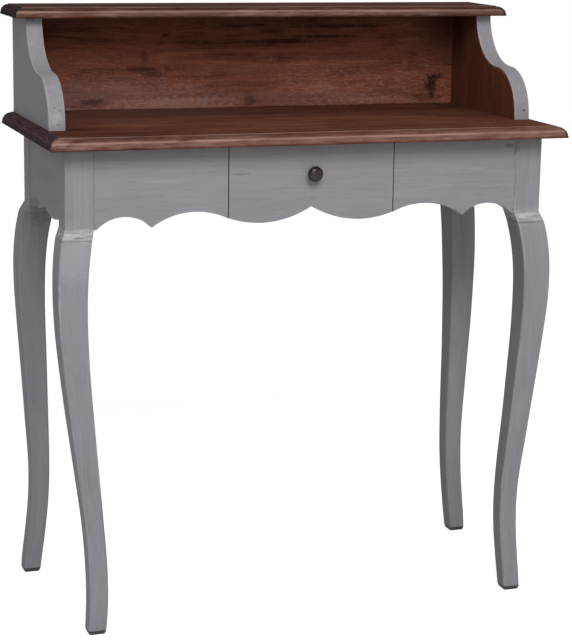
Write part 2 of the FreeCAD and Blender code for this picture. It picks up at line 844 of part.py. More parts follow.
def write_pieces():
    """Write each sub-part to its own file."""
    os.makedirs("parts", exist_ok=True)
    for label, item in pieces.items():
        item.Shape.exportStep(f"parts/{label}.step")
        box = item.Shape.BoundBox
        print(f"{label}: {len(item.Shape.Solids)} solid, {item.Shape.Volume / 1000:.1f} cm3, "
              f"z {box.ZMin:.1f} to {box.ZMax:.1f}")


make_legs()
make_aprons()
make_drawer_case()
make_drawer()
make_top_and_hutch()
doc.recompute()
check_document()
write_pieces()
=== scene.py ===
import functools
import json
import math

import bmesh
import bpy
import numpy as np
from mathutils import Matrix, Vector

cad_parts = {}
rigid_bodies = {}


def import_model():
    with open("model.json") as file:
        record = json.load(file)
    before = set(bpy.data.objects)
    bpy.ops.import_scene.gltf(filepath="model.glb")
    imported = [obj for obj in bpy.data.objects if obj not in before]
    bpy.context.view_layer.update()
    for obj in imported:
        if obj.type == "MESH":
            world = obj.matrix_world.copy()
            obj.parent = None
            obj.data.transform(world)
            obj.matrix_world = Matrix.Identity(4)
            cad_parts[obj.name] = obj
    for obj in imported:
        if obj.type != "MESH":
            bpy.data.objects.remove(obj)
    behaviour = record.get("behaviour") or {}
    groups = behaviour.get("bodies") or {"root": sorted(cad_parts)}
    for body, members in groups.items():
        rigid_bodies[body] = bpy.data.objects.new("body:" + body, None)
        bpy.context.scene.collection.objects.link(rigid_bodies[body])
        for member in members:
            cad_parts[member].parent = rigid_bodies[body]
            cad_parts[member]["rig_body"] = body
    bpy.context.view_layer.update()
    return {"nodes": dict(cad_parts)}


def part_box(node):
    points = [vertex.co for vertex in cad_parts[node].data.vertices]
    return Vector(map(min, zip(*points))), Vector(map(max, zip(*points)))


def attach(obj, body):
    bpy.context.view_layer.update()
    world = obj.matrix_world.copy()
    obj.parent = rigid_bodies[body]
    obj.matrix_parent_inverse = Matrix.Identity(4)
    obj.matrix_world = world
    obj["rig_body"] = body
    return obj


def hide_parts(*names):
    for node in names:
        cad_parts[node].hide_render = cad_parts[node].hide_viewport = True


bl_info = {
    "name": "Painted writing desk",
    "version": (1, 0, 0),
    "blender": (4, 5, 0),
    "location": "View3D > Sidebar > Desk",
    "description": "Dresses the desk: brushed paint, stained boards, moulded edges, drawer and knob",
    "category": "Object",
}

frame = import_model()

X, Y, Z = 0, 1, 2
MM = 0.001
QUARTER = math.pi / 2
CREASE = math.radians(40)

LEGS = ("front_left", "front_right", "back_left", "back_right")
SIDES = (("left", -1), ("right", 1))
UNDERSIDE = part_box("desk_top")[0].z
PANEL_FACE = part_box("hutch_back_panel")[0].y

# A point this near to an edge counts as on it, and a cut this far inside a solid's end still meets it
BESIDE = 1 * MM
SLIVER = 0.01 * MM

# Rings round an arris, the width of the rubbed band beside it, how an arris swells along its board, and how
# sharp it stays in a joint
ARRIS_STEPS = 5
FACE_RINGS = ARRIS_STEPS + 2
RUB_WIDTH = 4.5 * MM
SWELL = 0.35
SWELL_WAVES = (0.21, 0.083, 0.037)
JOINT_SHARPNESS = 0.85

# Draws in the lowest and highest x and y of a box
INWARDS = np.array([1, -1, 1, -1])[:, None]


def below(drop):
    """A height below the underside of the top."""
    return UNDERSIDE - drop


def both(name):
    """Names of a left and a right node."""
    return [f"{name}_{word}" for word, _ in SIDES]


# Meshes


def wobble(along, seed, *waves):
    """Gentle unevenness from -1 to 1: the mean of sines of the given wavelengths, each with its own shift."""
    first_shift, next_shift = 3.7, 1.9
    shifts = seed * (first_shift + next_shift * np.arange(len(waves)))
    sines = [np.sin(2 * math.pi * along / wave + shift) for wave, shift in zip(waves, shifts)]
    return sum(sines) / len(waves)


def bell(values, middle, width):
    """A bell curve: 1 in the middle, falling away on both sides."""
    return np.exp(-(((values - middle) / width) ** 2))


def arris_wear(turn):
    """Wear round a quarter circle: most in its middle, as the sine of twice the turn."""
    return 0.6 + 0.4 * np.sin(2 * turn)


def ring_faces(rows, columns, first=0):
    """Quads between neighbouring rings, each ring closed on itself, and one face across each end."""
    row = np.arange(rows - 1)[:, None] * columns + first
    here = np.arange(columns)[None, :]
    there = (here + 1) % columns
    quads = np.stack([row + here, row + there, row + columns + there, row + columns + here], axis=-1)
    start = np.arange(columns)[::-1] + first
    finish = np.arange(columns) + (rows - 1) * columns + first
    return quads.reshape(-1, 4).tolist() + [start.tolist(), finish.tolist()]


def mesh_piece(name, points, faces, grain, **masks):
    """An object, smooth but for its creases, with a grain place and masks at each of its points."""
    mesh = bpy.data.meshes.new(name)
    mesh.from_pydata(points.tolist(), [], faces)
    place = mesh.attributes.new("grain", "FLOAT_VECTOR", "POINT")
    place.data.foreach_set("vector", np.ascontiguousarray(grain, np.float32).ravel())
    for label, values in masks.items():
        mask = mesh.attributes.new(label, "FLOAT", "POINT")
        mask.data.foreach_set("value", np.ascontiguousarray(values, np.float32).ravel())
    shell = bmesh.new()
    shell.from_mesh(mesh)
    bmesh.ops.recalc_face_normals(shell, faces=shell.faces)
    shell.to_mesh(mesh)
    shell.free()
    mesh.polygons.foreach_set("use_smooth", np.ones(len(mesh.polygons), bool))
    mesh.set_sharp_from_angle(angle=CREASE)
    piece = bpy.data.objects.new(name, mesh)
    bpy.context.scene.collection.objects.link(piece)
    return piece


def ring_piece(name, rings, grain, **masks):
    """A closed shell from rings of points (ring, point, xyz), with masks spread over the same grid."""
    rows, columns = rings.shape[:2]
    spread = {label: np.broadcast_to(values, (rows, columns)) for label, values in masks.items()}
    return mesh_piece(name, rings.reshape(-1, 3), ring_faces(rows, columns), grain, **spread)


def stands_for(piece, node, slot, *materials):
    """A finished piece takes its materials, rides with its node's body and hides the node; the slot is not
    used.
    """
    for material in materials:
        piece.data.materials.append(material)
    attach(piece, frame["nodes"][node]["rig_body"])
    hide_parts(node)


def grain_place(points, along, seed):
    """Places with the grain's axis put last, shifted by the seed so that like boards differ."""
    order = [axis for axis in (X, Y, Z) if axis != along] + [along]
    shift = np.array([0.37, 0.71, 1.93])
    return points.reshape(-1, 3)[:, order] + shift * seed


def raised(flat, heights):
    """Rings of points from their flat places and a height for each ring."""
    level = np.broadcast_to(heights[:, None, None], flat.shape[:2] + (1,))
    return np.concatenate([flat, level], axis=2)


def line_points(start, finish, step):
    """Evenly spaced points along a straight edge, without the last one."""
    count = max(2, round(math.dist(start, finish) / step))
    share = np.linspace(0, 1, count, endpoint=False)[:, None]
    return np.asarray(start) * (1 - share) + np.asarray(finish) * share


def arc_points(start, middle, finish, step):
    """Points along the circle through three points, without the last: equal turns about the centre that lies
    as far from all three."""
    (ax, ay), (bx, by), (cx, cy) = start, middle, finish
    squares = [x * x + y * y for x, y in (start, middle, finish)]
    twice = 2 * (ax * (by - cy) + bx * (cy - ay) + cx * (ay - by))
    centre_x = (squares[0] * (by - cy) + squares[1] * (cy - ay) + squares[2] * (ay - by)) / twice
    centre_y = (squares[0] * (cx - bx) + squares[1] * (ax - cx) + squares[2] * (bx - ax)) / twice
    first, passing, last = [math.atan2(y - centre_y, x - centre_x) for x, y in (start, middle, finish)]
    sweep = (last - first) % (2 * math.pi)
    if (passing - first) % (2 * math.pi) > sweep:
        sweep -= 2 * math.pi
    radius = math.hypot(ax - centre_x, ay - centre_y)
    count = max(6, round(abs(sweep) * radius / step))
    turn = first + np.linspace(0, sweep, count, endpoint=False)
    return np.stack([centre_x + radius * np.cos(turn), centre_y + radius * np.sin(turn)], axis=1)


def outline_of(path, step=8 * MM):
    """A closed outline, anticlockwise, from a path of corners; a corner's third item is the point that the
    edge after it bends through."""
    runs = []
    for corner, following in zip(path, path[1:] + path[:1]):
        start, finish = corner[:2], following[:2]
        if len(corner) > 2:
            runs.append(arc_points(start, corner[2], finish, step))
        else:
            runs.append(line_points(start, finish, step))
    outline = np.concatenate(runs)
    ahead = np.roll(outline, -1, axis=0)
    area = np.sum(outline[:, 0] * ahead[:, 1] - ahead[:, 0] * outline[:, 1])
    return outline if area > 0 else outline[::-1]


def mirrored(path, side):
    """A path drawn for the right-hand side, turned over for the left."""
    turned = []
    for corner in path:
        bends = [(bend[0] * side, bend[1]) for bend in corner[2:]]
        turned.append((corner[0] * side, corner[1], *bends))
    return turned


def inward(outline):
    """Mitred inward directions at an outline's points: the sum of both edges' normals over one plus their
    dot, which is kept from zero where a corner is very sharp."""
    sharpest = 0.3
    behind = outline - np.roll(outline, 1, axis=0)
    ahead = np.roll(outline, -1, axis=0) - outline
    edges = [edge / np.linalg.norm(edge, axis=1, keepdims=True) for edge in (behind, ahead)]
    first, second = [np.stack([-edge[:, 1], edge[:, 0]], axis=1) for edge in edges]
    return (first + second) / np.maximum(1 + np.sum(first * second, axis=1), sharpest)[:, None]


def eased_rings(outline, thickness, radius, tight, seed):
    """A board's rings (ring, point, across-up-depth) and wear: its outline drawn in along a quarter circle at
    both faces, with a rubbed band on both sides of it. Where tight is 1 the arris stays almost sharp, as in a
    joint; elsewhere it swells and shrinks."""
    turn = np.linspace(0, QUARTER, ARRIS_STEPS)
    inset = np.concatenate([[radius + RUB_WIDTH], radius * (1 - np.sin(turn)), [0]])
    depth = np.concatenate([[0], radius * (1 - np.cos(turn)), [radius + RUB_WIDTH]])
    wear = np.concatenate([[0], arris_wear(turn), [0]])
    inset = np.concatenate([inset, inset[::-1]])[:, None]
    depth = np.concatenate([depth, thickness - depth[::-1]])
    wear = np.concatenate([wear, wear[::-1]])[:, None]
    steps = np.linalg.norm(np.roll(outline, -1, axis=0) - outline, axis=1)
    walked = np.cumsum(steps) - steps
    swell = (1 + SWELL * wobble(walked, seed, *SWELL_WAVES)) * (1 - JOINT_SHARPNESS * tight)
    flat = outline[None] + inward(outline)[None] * (inset * swell[None])[:, :, None]
    return raised(flat, depth), wear * (1 - tight)[None]


def facing_front(front):
    """Lays an outline across X and up Z, its depth going back from the front face."""
    return lambda rings: np.stack([rings[..., 0], front + rings[..., 2], rings[..., 1]], axis=-1)


def facing_out(outer, side):
    """Lays an outline along Y and up Z, its depth going in from the outer face of the left or right side."""
    return lambda rings: np.stack([side * (outer - rings[..., 2]), rings[..., 0], rings[..., 1]], axis=-1)


def eased_board(name, path, thickness, lay, along, radius, seed, joint):
    """A board sawn to a path, with eased arrises; joint marks the outline's points that lie in a joint."""
    outline = outline_of(path)
    rings, wear = eased_rings(outline, thickness, radius, joint(outline).astype(float), seed)
    rings = lay(rings)
    return ring_piece(name, rings, grain_place(rings, along, seed), arris=wear)


def level_box(node, heights):
    """Lowest and highest x and y where level planes cut a node, from the mesh edges that cross them."""
    level_edge = 0.001 * MM
    mesh = frame["nodes"][node].data
    points = np.empty(len(mesh.vertices) * 3, np.float32)
    mesh.vertices.foreach_get("co", points)
    pairs = np.empty(len(mesh.edges) * 2, np.int32)
    mesh.edges.foreach_get("vertices", pairs)
    ends = points.reshape(-1, 3)[pairs.reshape(-1, 2)].astype(float)
    ends = ends[np.abs(ends[:, 1, Z] - ends[:, 0, Z]) > level_edge]
    low, span = ends[None, :, 0], (ends[:, 1] - ends[:, 0])[None]
    share = (heights[:, None] - low[..., Z]) / span[..., Z]
    missed = (share < 0) | (share > 1)
    sides = []
    for axis in (X, Y):
        place = low[..., axis] + share * span[..., axis]
        sides += [np.where(missed, np.inf, place).min(axis=1), np.where(missed, -np.inf, place).max(axis=1)]
    return np.array(sides)


def smoothed(values, reach):
    """Values averaged with their neighbours under a raised cosine, the ends held."""
    weights = np.hanning(2 * reach + 3)[1:-1]
    padded = np.pad(values, reach, mode="edge")
    return np.convolve(padded, weights / weights.sum(), mode="valid")


def squared_rings(sides, heights, radius):
    """Rounded squares at a row of heights: each corner's centre pushed out along a quarter circle, with a
    rubbed band on both sides of it. Gives the rings, their middles, the wear of the corners and each point's
    outward direction."""
    x_low, x_high, y_low, y_high = sides
    arc = np.linspace(0, QUARTER, ARRIS_STEPS + 2)
    turn = np.concatenate([[0], arc, [QUARTER]])
    slide = np.tile(np.concatenate([[-RUB_WIDTH], np.zeros(len(arc)), [RUB_WIDTH]]), 4)
    wear = np.tile(np.concatenate([[0], arris_wear(arc), [0]]), 4)
    corners = np.repeat(np.array([[1, 1], [-1, 1], [-1, -1], [1, -1]]), len(turn), axis=0)
    angles = (turn[None] + np.arange(4)[:, None] * QUARTER).ravel()
    outward = np.stack([np.cos(angles), np.sin(angles)], axis=1)
    along = np.stack([-np.sin(angles), np.cos(angles)], axis=1) * slide[:, None]
    middle = np.stack([x_low + x_high, y_low + y_high], axis=1) / 2
    half = np.stack([x_high - x_low, y_high - y_low], axis=1) / 2
    corner = middle[:, None] + corners[None] * (half - radius[:, None])[:, None]
    flat = corner + outward[None] * radius[:, None, None] + along[None]
    return raised(flat, heights), middle, wear[None], outward


# Materials


class Tree:
    """Short words for adding nodes to a tree and joining them."""

    def __init__(self, tree):
        self.tree = tree

    def add(self, kind, **settings):
        """A new node with its settings."""
        node = self.tree.nodes.new(kind)
        for name, value in settings.items():
            setattr(node, name, value)
        return node

    def feed(self, socket, value):
        """Joins a socket to another, or sets its value."""
        if isinstance(value, bpy.types.NodeSocket):
            self.tree.links.new(value, socket)
        else:
            socket.default_value = value

    def fed(self, kind, *values, **settings):
        """A new node with its settings and its first inputs fed; gives its first output."""
        node = self.add(kind, **settings)
        for socket, value in zip(node.inputs, values):
            self.feed(socket, value)
        return node.outputs[0]

    def math(self, operation, first, second):
        """Any operation on two values."""
        return self.fed("ShaderNodeMath", first, second, operation=operation)

    plus = functools.partialmethod(math, "ADD")
    minus = functools.partialmethod(math, "SUBTRACT")
    times = functools.partialmethod(math, "MULTIPLY")

    def weighted(self, *parts):
        """A sum of values, each times its weight."""
        return functools.reduce(self.plus, [self.times(value, weight) for value, weight in parts])

    def vector(self, operation, first, second):
        """Any operation on two vectors."""
        return self.fed("ShaderNodeVectorMath", first, second, operation=operation)

    def noise(self, place, per_metre, detail=3.0, roughness=0.55, distortion=0.0):
        """Noise with its own number of cycles to the metre along each axis."""
        node = self.add("ShaderNodeTexNoise")
        self.feed(node.inputs["Vector"], self.vector("MULTIPLY", place, per_metre))
        settings = {"Scale": 1.0, "Detail": detail, "Roughness": roughness, "Distortion": distortion}
        for label, value in settings.items():
            node.inputs[label].default_value = value
        return node.outputs["Fac"]

    def fade(self, value, start, finish, most=1.0, least=0.0):
        """A smooth step: least up to the start, most from the finish on."""
        given = (value, start, finish, least, most)
        return self.fed("ShaderNodeMapRange", *given, interpolation_type="SMOOTHSTEP")

    def mix(self, share, first, second):
        """One colour laid over another."""
        node = self.add("ShaderNodeMix", data_type="RGBA")
        self.feed(node.inputs[0], share)
        self.feed(node.inputs[6], first)
        self.feed(node.inputs[7], second)
        return node.outputs[2]

    def ramp(self, value, *stops):
        """Colours at positions, blended between."""
        node = self.add("ShaderNodeValToRGB")
        elements = node.color_ramp.elements
        while len(elements) < len(stops):
            elements.new(1.0)
        for element, (position, colour) in zip(elements, stops):
            element.position = position
            element.color = colour
        self.feed(node.inputs[0], value)
        return node.outputs[0]

    def group(self, name, **inputs):
        """A shared group with its inputs fed; gives its outputs."""
        node = self.add("ShaderNodeGroup")
        node.node_tree = bpy.data.node_groups.get(name) or build_group(name)
        for label, value in inputs.items():
            self.feed(node.inputs[label.capitalize()], value)
        return node.outputs

    def attribute(self, name, output="Fac"):
        """One of the piece's own attributes."""
        return self.add("ShaderNodeAttribute", attribute_name=name).outputs[output]

    def split(self, vector):
        """A vector's three parts."""
        return self.fed("ShaderNodeSeparateXYZ", vector).node.outputs

    def joined(self, *parts):
        """A vector from three parts."""
        return self.fed("ShaderNodeCombineXYZ", *parts)

    def place(self):
        """Object coordinates, which are the desk's own."""
        return self.add("ShaderNodeTexCoord").outputs["Object"]


GROUPS = {}


def shared(name, **inputs):
    """Keeps the maker of a shared group, which turns the group's inputs into its named outputs."""

    def keep(maker):
        GROUPS[name] = (inputs, maker)
        return maker

    return keep


def build_group(name):
    """A node group from its kept maker, with a socket for each of its inputs and outputs."""
    inputs, maker = GROUPS[name]
    group = bpy.data.node_groups.new(name, "ShaderNodeTree")
    for label, kind in inputs.items():
        group.interface.new_socket(label, in_out="INPUT", socket_type=kind)
    tree = Tree(group)
    given = tree.add("NodeGroupInput").outputs
    made = maker(tree, *[given[label] for label in inputs])
    for label in made:
        group.interface.new_socket(label, in_out="OUTPUT", socket_type="NodeSocketFloat")
    out = tree.add("NodeGroupOutput").inputs
    for label, socket in made.items():
        tree.feed(out[label], socket)
    return group


@shared("Brush marks", Grain="NodeSocketVector")
def brush_marks(tree, grain):
    """Tone of fine, middling and broad brush strokes, cloudy patches, dragged strokes, and relief."""
    fine = tree.noise(grain, (230, 230, 10), roughness=0.65, distortion=0.4)
    strokes = tree.noise(grain, (95, 95, 7), roughness=0.6, distortion=0.6)
    broad = tree.noise(grain, (34, 34, 4.5), roughness=0.6, distortion=1.0)
    return {
        "Tone": tree.weighted((fine, 0.36), (strokes, 0.36), (broad, 0.28)),
        "Broad": broad,
        "Patch": tree.noise(grain, (9, 9, 5), distortion=0.5),
        "Drag": tree.noise(grain, (110, 110, 10), roughness=0.7, distortion=0.5),
        "Height": tree.weighted((fine, 0.6), (strokes, 0.4)),
    }


@shared("Rubbed arrises", Grain="NodeSocketVector", Arris="NodeSocketFloat")
def rubbed_arrises(tree, grain, arris):
    """The arris mask broken up by short nicks, sharply and softly, longer rubbed spells, and bare places."""
    nicks = tree.noise(grain, (190, 190, 22), detail=4.0, roughness=0.7)
    spells = tree.noise(grain, (14, 14, 10), detail=2.0)
    ragged = tree.plus(arris, tree.times(tree.minus(nicks, 0.5), 1.3))
    return {
        "Worn": tree.fade(ragged, 0.4, 0.9),
        "Soft": tree.fade(ragged, 0.0, 1.15),
        "Spell": tree.fade(spells, 0.38, 0.6),
        "Bare": tree.times(tree.fade(ragged, 0.7, 1.05), tree.fade(spells, 0.55, 0.66)),
    }


@shared("Wood grain", Grain="NodeSocketVector")
def wood_grain(tree, grain):
    """Long bands that wander sideways, dark streaks, open pores, short dashes, broad clouds, and relief."""
    drift = tree.noise(grain, (7, 7, 3.2), detail=2.0)
    sway = tree.times(tree.minus(drift, 0.5), 0.055)
    swayed = tree.vector("ADD", grain, tree.joined(sway, sway, 0.0))
    bands = tree.noise(swayed, (50, 50, 3.2), detail=5.0, roughness=0.65, distortion=0.9)
    mottle = tree.noise(swayed, (48, 48, 22), detail=4.0, roughness=0.65, distortion=0.4)
    fibres = tree.noise(swayed, (520, 520, 9), roughness=0.6, distortion=0.2)
    streaks = tree.noise(swayed, (120, 120, 3.4), detail=4.0, roughness=0.65, distortion=0.5)
    pores = tree.fade(tree.noise(swayed, (900, 900, 34), detail=2.0, roughness=0.6), 0.56, 0.72)
    return {
        "Tone": tree.weighted((bands, 0.5), (mottle, 0.25), (fibres, 0.25)),
        "Streaks": tree.fade(streaks, 0.56, 0.66),
        "Pores": pores,
        "Dashes": tree.fade(tree.noise(swayed, (420, 420, 130), roughness=0.7), 0.5, 0.64),
        "Cloud": tree.noise(grain, (6, 6, 3)),
        "Height": tree.weighted((fibres, 0.5), (pores, -0.45)),
    }


@shared("Ragged mark", Place="NodeSocketVector", Centre="NodeSocketVector", Reach="NodeSocketVector")
def ragged_mark(tree, place, centre, reach):
    """A knot, scuff, stain, painted shadow or painted light: the distance from a centre over its reach, made
    ragged, falling from 1 to 0.
    """
    away = tree.vector("DIVIDE", tree.vector("SUBTRACT", place, centre), reach)
    far = tree.fed("ShaderNodeVectorMath", away, operation="LENGTH").node.outputs["Value"]
    ragged = tree.minus(tree.noise(place, (140, 140, 140), detail=4.0, roughness=0.7), 0.5)
    distance = tree.plus(far, tree.times(ragged, 2.4))
    return {"Mark": tree.fade(distance, 1.25, 0.35)}


def tint(colour, factor=1.0):
    """A colour made darker or lighter, with full alpha."""
    return (*[min(1.0, part * factor) for part in colour[:3]], 1.0)


class Coat:
    """A colour over which stains, wear and marks are laid one after another."""

    def __init__(self, tree, colour):
        self.tree = tree
        self.colour = colour

    def cover(self, share, colour):
        """Lays a ready colour over a share of what is there."""
        self.colour = self.tree.mix(share, self.colour, colour)

    def lay(self, share, colour, factor=1.0):
        """Lays a colour, made darker or lighter, over a share of what is there."""
        self.cover(share, tint(colour, factor))

    def mark(self, place, colours, marks):
        """Lays ragged marks, each with its colouring (a colour's name and factor), centre, reach and
        strength;
        some are painted shadow or painted light.
        """
        for (stain, factor), centre, reach, strength in marks:
            mark = self.tree.group("Ragged mark", place=place, centre=centre, reach=reach)["Mark"]
            self.lay(self.tree.times(mark, strength), getattr(colours, stain), factor)


def made_once(maker):
    """Gives the material of a name, and has its tree and Principled shader filled in by the maker once."""

    def fetch(name, *given, **look):
        material = bpy.data.materials.get(name)
        if material is None:
            material = bpy.data.materials.new(name)
            material.use_nodes = True
            shader = material.node_tree.nodes["Principled BSDF"]
            maker(Tree(material.node_tree), shader, *given, **look)
        return material

    return fetch


def dress(tree, shader, colour, roughness, height, strength, depth):
    """Gives a shader its colour, its roughness and a fine relief of a strength and depth."""
    tree.feed(shader.inputs["Base Color"], colour)
    tree.feed(shader.inputs["Roughness"], roughness)
    node = tree.add("ShaderNodeBump")
    node.inputs["Strength"].default_value = strength
    node.inputs["Distance"].default_value = depth
    tree.feed(node.inputs["Height"], height)
    tree.feed(shader.inputs["Normal"], node.outputs[0])


# Colourings that marks are made with, for stains and for a few painted shadows and painted light: a colour
# of the paint or the wood, and its factor
DARK, EARTH, BROWN, PALE = ("glaze_and_shade", 0.3), ("scuff", 1.0), ("bare", 1.0), ("rubbed", 1.0)
KNOT, DUST = ("knot", 1.0), ("dust", 1.0)

PAINT_TONES = ((0.36, 0.87), (0.45, 0.96), (0.51, 1.0), (0.57, 1.04), (0.66, 1.13))
PAINT_MARKS = (
    (DARK, (0.3855, -0.081, 0.778), (0.0024, 0.02, 0.0024), 0.9),
    (EARTH, (-0.372, 0.100, 0.606), (0.022, 0.03, 0.020), 0.45),
    (EARTH, (-0.386, 0.060, 0.633), (0.012, 0.03, 0.008), 0.5),
    # Painted shade: a dark streak at the top of the right apron by the post, under the top
    (DARK, (0.330, -0.150, 0.731), (0.010, 0.02, 0.0035), 0.4),
    (EARTH, (0.343, -0.150, 0.728), (0.006, 0.02, 0.012), 0.35),
    (DARK, (-0.116, -0.149, 0.699), (0.020, 0.01, 0.0022), 0.22),
    (DARK, (-0.367, -0.150, 0.612), (0.009, 0.02, 0.0022), 0.5),
    (PALE, (-0.384, -0.081, 0.782), (0.010, 0.02, 0.012), 0.3),
    (BROWN, (-0.366, -0.150, 0.742), (0.032, 0.02, 0.003), 0.7),
    # Painted light: a pale patch on the front left knee, which faces up towards the light
    (PALE, (-0.370, -0.170, 0.585), (0.060, 0.06, 0.040), 0.16),
    (BROWN, (0.372, 0.105, 0.500), (0.026, 0.03, 0.130), 0.1),
    # Painted shadow: a dark patch on the left bracket's head, under the shelf's overhang
    (DARK, (-0.386, 0.090, 0.919), (0.012, 0.05, 0.003), 0.6),
    (DARK, (-0.385, -0.081, 0.797), (0.0030, 0.02, 0.0014), 0.4),
    (DARK, (-0.378, -0.081, 0.793), (0.0024, 0.02, 0.0014), 0.4),
    (DARK, (-0.381, -0.081, 0.772), (0.0020, 0.02, 0.0020), 0.35),
)
# Heights of the band of glaze streaks and painted shade under the top, and one above the frame and below
# the brackets
SHADE_BAND_FOOT, SHADE_BAND_HEAD, FRAME_HEAD = 0.715, 0.742, 0.75


@made_once
def painted(tree, shader, paint):
    """Grey paint: brush strokes, cloudy patches, painted shade on the inner faces of the legs, fine hairs of
    the brush, glaze streaks with painted shade in a band under the top, pale scratched shoulders over a dark
    seam, rubbed arrises and marks, some of them painted shadow and painted light."""
    grain = tree.attribute("grain", "Vector")
    place = tree.place()
    brush = tree.group("Brush marks", grain=grain)
    rubbed = tree.group("Rubbed arrises", grain=grain, arris=tree.attribute("arris"))
    tones = [(stop, tint(paint.body, factor)) for stop, factor in PAINT_TONES]
    coat = Coat(tree, tree.ramp(brush["Tone"], *tones))
    coat.lay(tree.fade(brush["Patch"], 0.45, 0.7, most=0.36), paint.body, 0.88)
    coat.lay(tree.fade(brush["Drag"], 0.59, 0.72, most=0.42), paint.body, 0.7)
    coat.lay(tree.fade(brush["Drag"], 0.37, 0.27, most=0.3), paint.body, 1.3)
    # Painted shade: the legs' inner faces, which look in under the desk, are made darker
    coat.lay(tree.times(tree.attribute("inner"), 0.5), paint.body, 0.55)
    hairs = tree.noise(grain, (330, 330, 34), detail=2.0, roughness=0.5)
    coat.lay(tree.fade(hairs, 0.62, 0.76, most=0.16), paint.glaze_and_shade)
    coat.lay(tree.fade(hairs, 0.37, 0.24, most=0.1), paint.rubbed)
    height = tree.split(place)[Z]
    # Glaze streaks with painted shade, in a band just under the top's overhang and above the frame's head
    glaze_shade_band = tree.times(tree.fade(height, SHADE_BAND_FOOT, SHADE_BAND_HEAD), tree.math("LESS_THAN", height, FRAME_HEAD))
    glaze_shade_band = tree.times(glaze_shade_band, tree.fade(brush["Broad"], 0.32, 0.6))
    coat.lay(tree.times(glaze_shade_band, 0.14), paint.glaze_and_shade)
    scratches = tree.noise(place, (38, 38, 330), detail=4.0, roughness=0.7)
    scratches = tree.fade(scratches, 0.42, 0.6, most=0.95, least=0.1)
    coat.lay(tree.times(tree.attribute("pale"), scratches), paint.rubbed)
    grime = tree.fade(brush["Patch"], 0.35, 0.6, most=0.7, least=0.2)
    coat.lay(tree.times(tree.attribute("seam"), grime), paint.body, 0.35)
    worn = tree.fade(rubbed["Spell"], 0.0, 1.0, most=0.5, least=0.18)
    coat.lay(tree.times(rubbed["Worn"], worn), paint.rubbed)
    coat.lay(tree.times(rubbed["Bare"], 0.35), paint.bare)
    coat.mark(place, paint, PAINT_MARKS)
    roughness = tree.fade(brush["Tone"], 0.35, 0.65, most=0.74, least=0.56)
    dress(tree, shader, coat.colour, roughness, brush["Height"], 0.2, 0.6 * MM)
    shader.inputs["Specular IOR Level"].default_value = 0.12


@made_once
def stained(tree, shader, wood, depth, end_depth, spread, streaky, speckle, flecked, corner_shade, marks):
    """Stained wood: grain from dark to light, open pores, pale dashes, dark flecked end grain, edges rubbed
    pale with a painted highlight along a moulding's nose, painted shade in the upper right inside corner, and
    marks."""
    grain = tree.attribute("grain", "Vector")
    place = tree.place()
    across, back, up = tree.split(place)
    figure = tree.group("Wood grain", grain=grain)
    rubbed = tree.group("Rubbed arrises", grain=grain, arris=tree.attribute("arris"))
    stops = (
        (0.36, wood.dark, 1.0), (0.45, wood.middle, 0.8), (0.54, wood.middle, 1.05), (0.64, wood.light, 1.0))
    stops = [(0.5 + (stop - 0.5) * spread, tint(stain, depth * factor)) for stop, stain, factor in stops]
    cloud = tree.times(tree.minus(figure["Cloud"], 0.5), 0.45)
    coat = Coat(tree, tree.ramp(tree.plus(figure["Tone"], cloud), *stops))
    coat.lay(tree.times(figure["Streaks"], streaky), wood.dark, depth)
    coat.lay(tree.times(figure["Pores"], 0.5), wood.dark, depth)
    dashes = tree.times(figure["Dashes"], tree.fade(up, 0.87, 0.80, least=0.2))
    dashes = tree.times(dashes, tree.fade(figure["Cloud"], 0.35, 0.6, least=0.3))
    coat.lay(tree.times(dashes, speckle), wood.speckle)
    flecks = tree.noise(place, (220, 26, 430), detail=4.0, roughness=0.75)
    flecks = tree.fade(flecks, 0.5, 0.64, most=flecked)
    end_grain = tree.mix(flecks, tint(wood.ends, end_depth), tint(wood.flecks))
    coat.cover(tree.times(tree.attribute("cut"), 0.94), end_grain)
    worn = tree.fade(rubbed["Spell"], 0.0, 1.0, most=0.72, least=0.52)
    # On moulded boards the arris mask also holds a painted highlight along the nose
    coat.lay(tree.times(rubbed["Soft"], worn), wood.rubbed)
    # Painted shade: the upper right inside corner, by the panel and the right bracket, is darkened with the
    # knot colour
    corner = tree.times(tree.fade(tree.plus(across, back), 0.45, 0.54), tree.fade(up, 0.79, 0.9))
    coat.lay(tree.times(corner, corner_shade), wood.knot, 0.6)
    coat.mark(place, wood, marks)
    roughness = tree.fade(figure["Tone"], 0.3, 0.7, most=0.96, least=0.84)
    dress(tree, shader, coat.colour, roughness, figure["Height"], 0.35, 0.5 * MM)
    shader.inputs["Specular IOR Level"].default_value = 0.05


def on_panel(stain, across, up, wide, high, strength):
    """A mark on the panel's face from its place across and up and its reach both ways."""
    through = 20 * MM
    return stain, (across, PANEL_FACE, up), (wide, through, high), strength


TOP_STAIN = {
    "depth": 0.62, "end_depth": 1.0, "spread": 1.0, "streaky": 0.6,
    "speckle": 0.1, "flecked": 0.75, "corner_shade": 0.0,
    "marks": (
        (DUST, (-0.200, 0.120, 0.763), (0.260, 0.120, 0.02), 0.14),
        (KNOT, (0.350, 0.140, 0.763), (0.030, 0.035, 0.02), 0.6),
        (KNOT, (-0.214, -0.186, 0.757), (0.012, 0.02, 0.002), 0.6),
        (PALE, (-0.402, -0.180, 0.758), (0.018, 0.012, 0.008), 0.3),
        (PALE, (-0.385, -0.164, 0.763), (0.024, 0.008, 0.004), 0.2),
    ),
}
SHELF_STAIN = {
    "depth": 0.38, "end_depth": 0.25, "spread": 1.0, "streaky": 0.6,
    "speckle": 0.1, "flecked": 0.1, "corner_shade": 0.0,
    "marks": (),
}
BRACKET_STAIN = {
    "depth": 0.8, "end_depth": 1.0, "spread": 1.8, "streaky": 0.05,
    "speckle": 0.0, "flecked": 0.0, "corner_shade": 0.5,
    "marks": (),
}
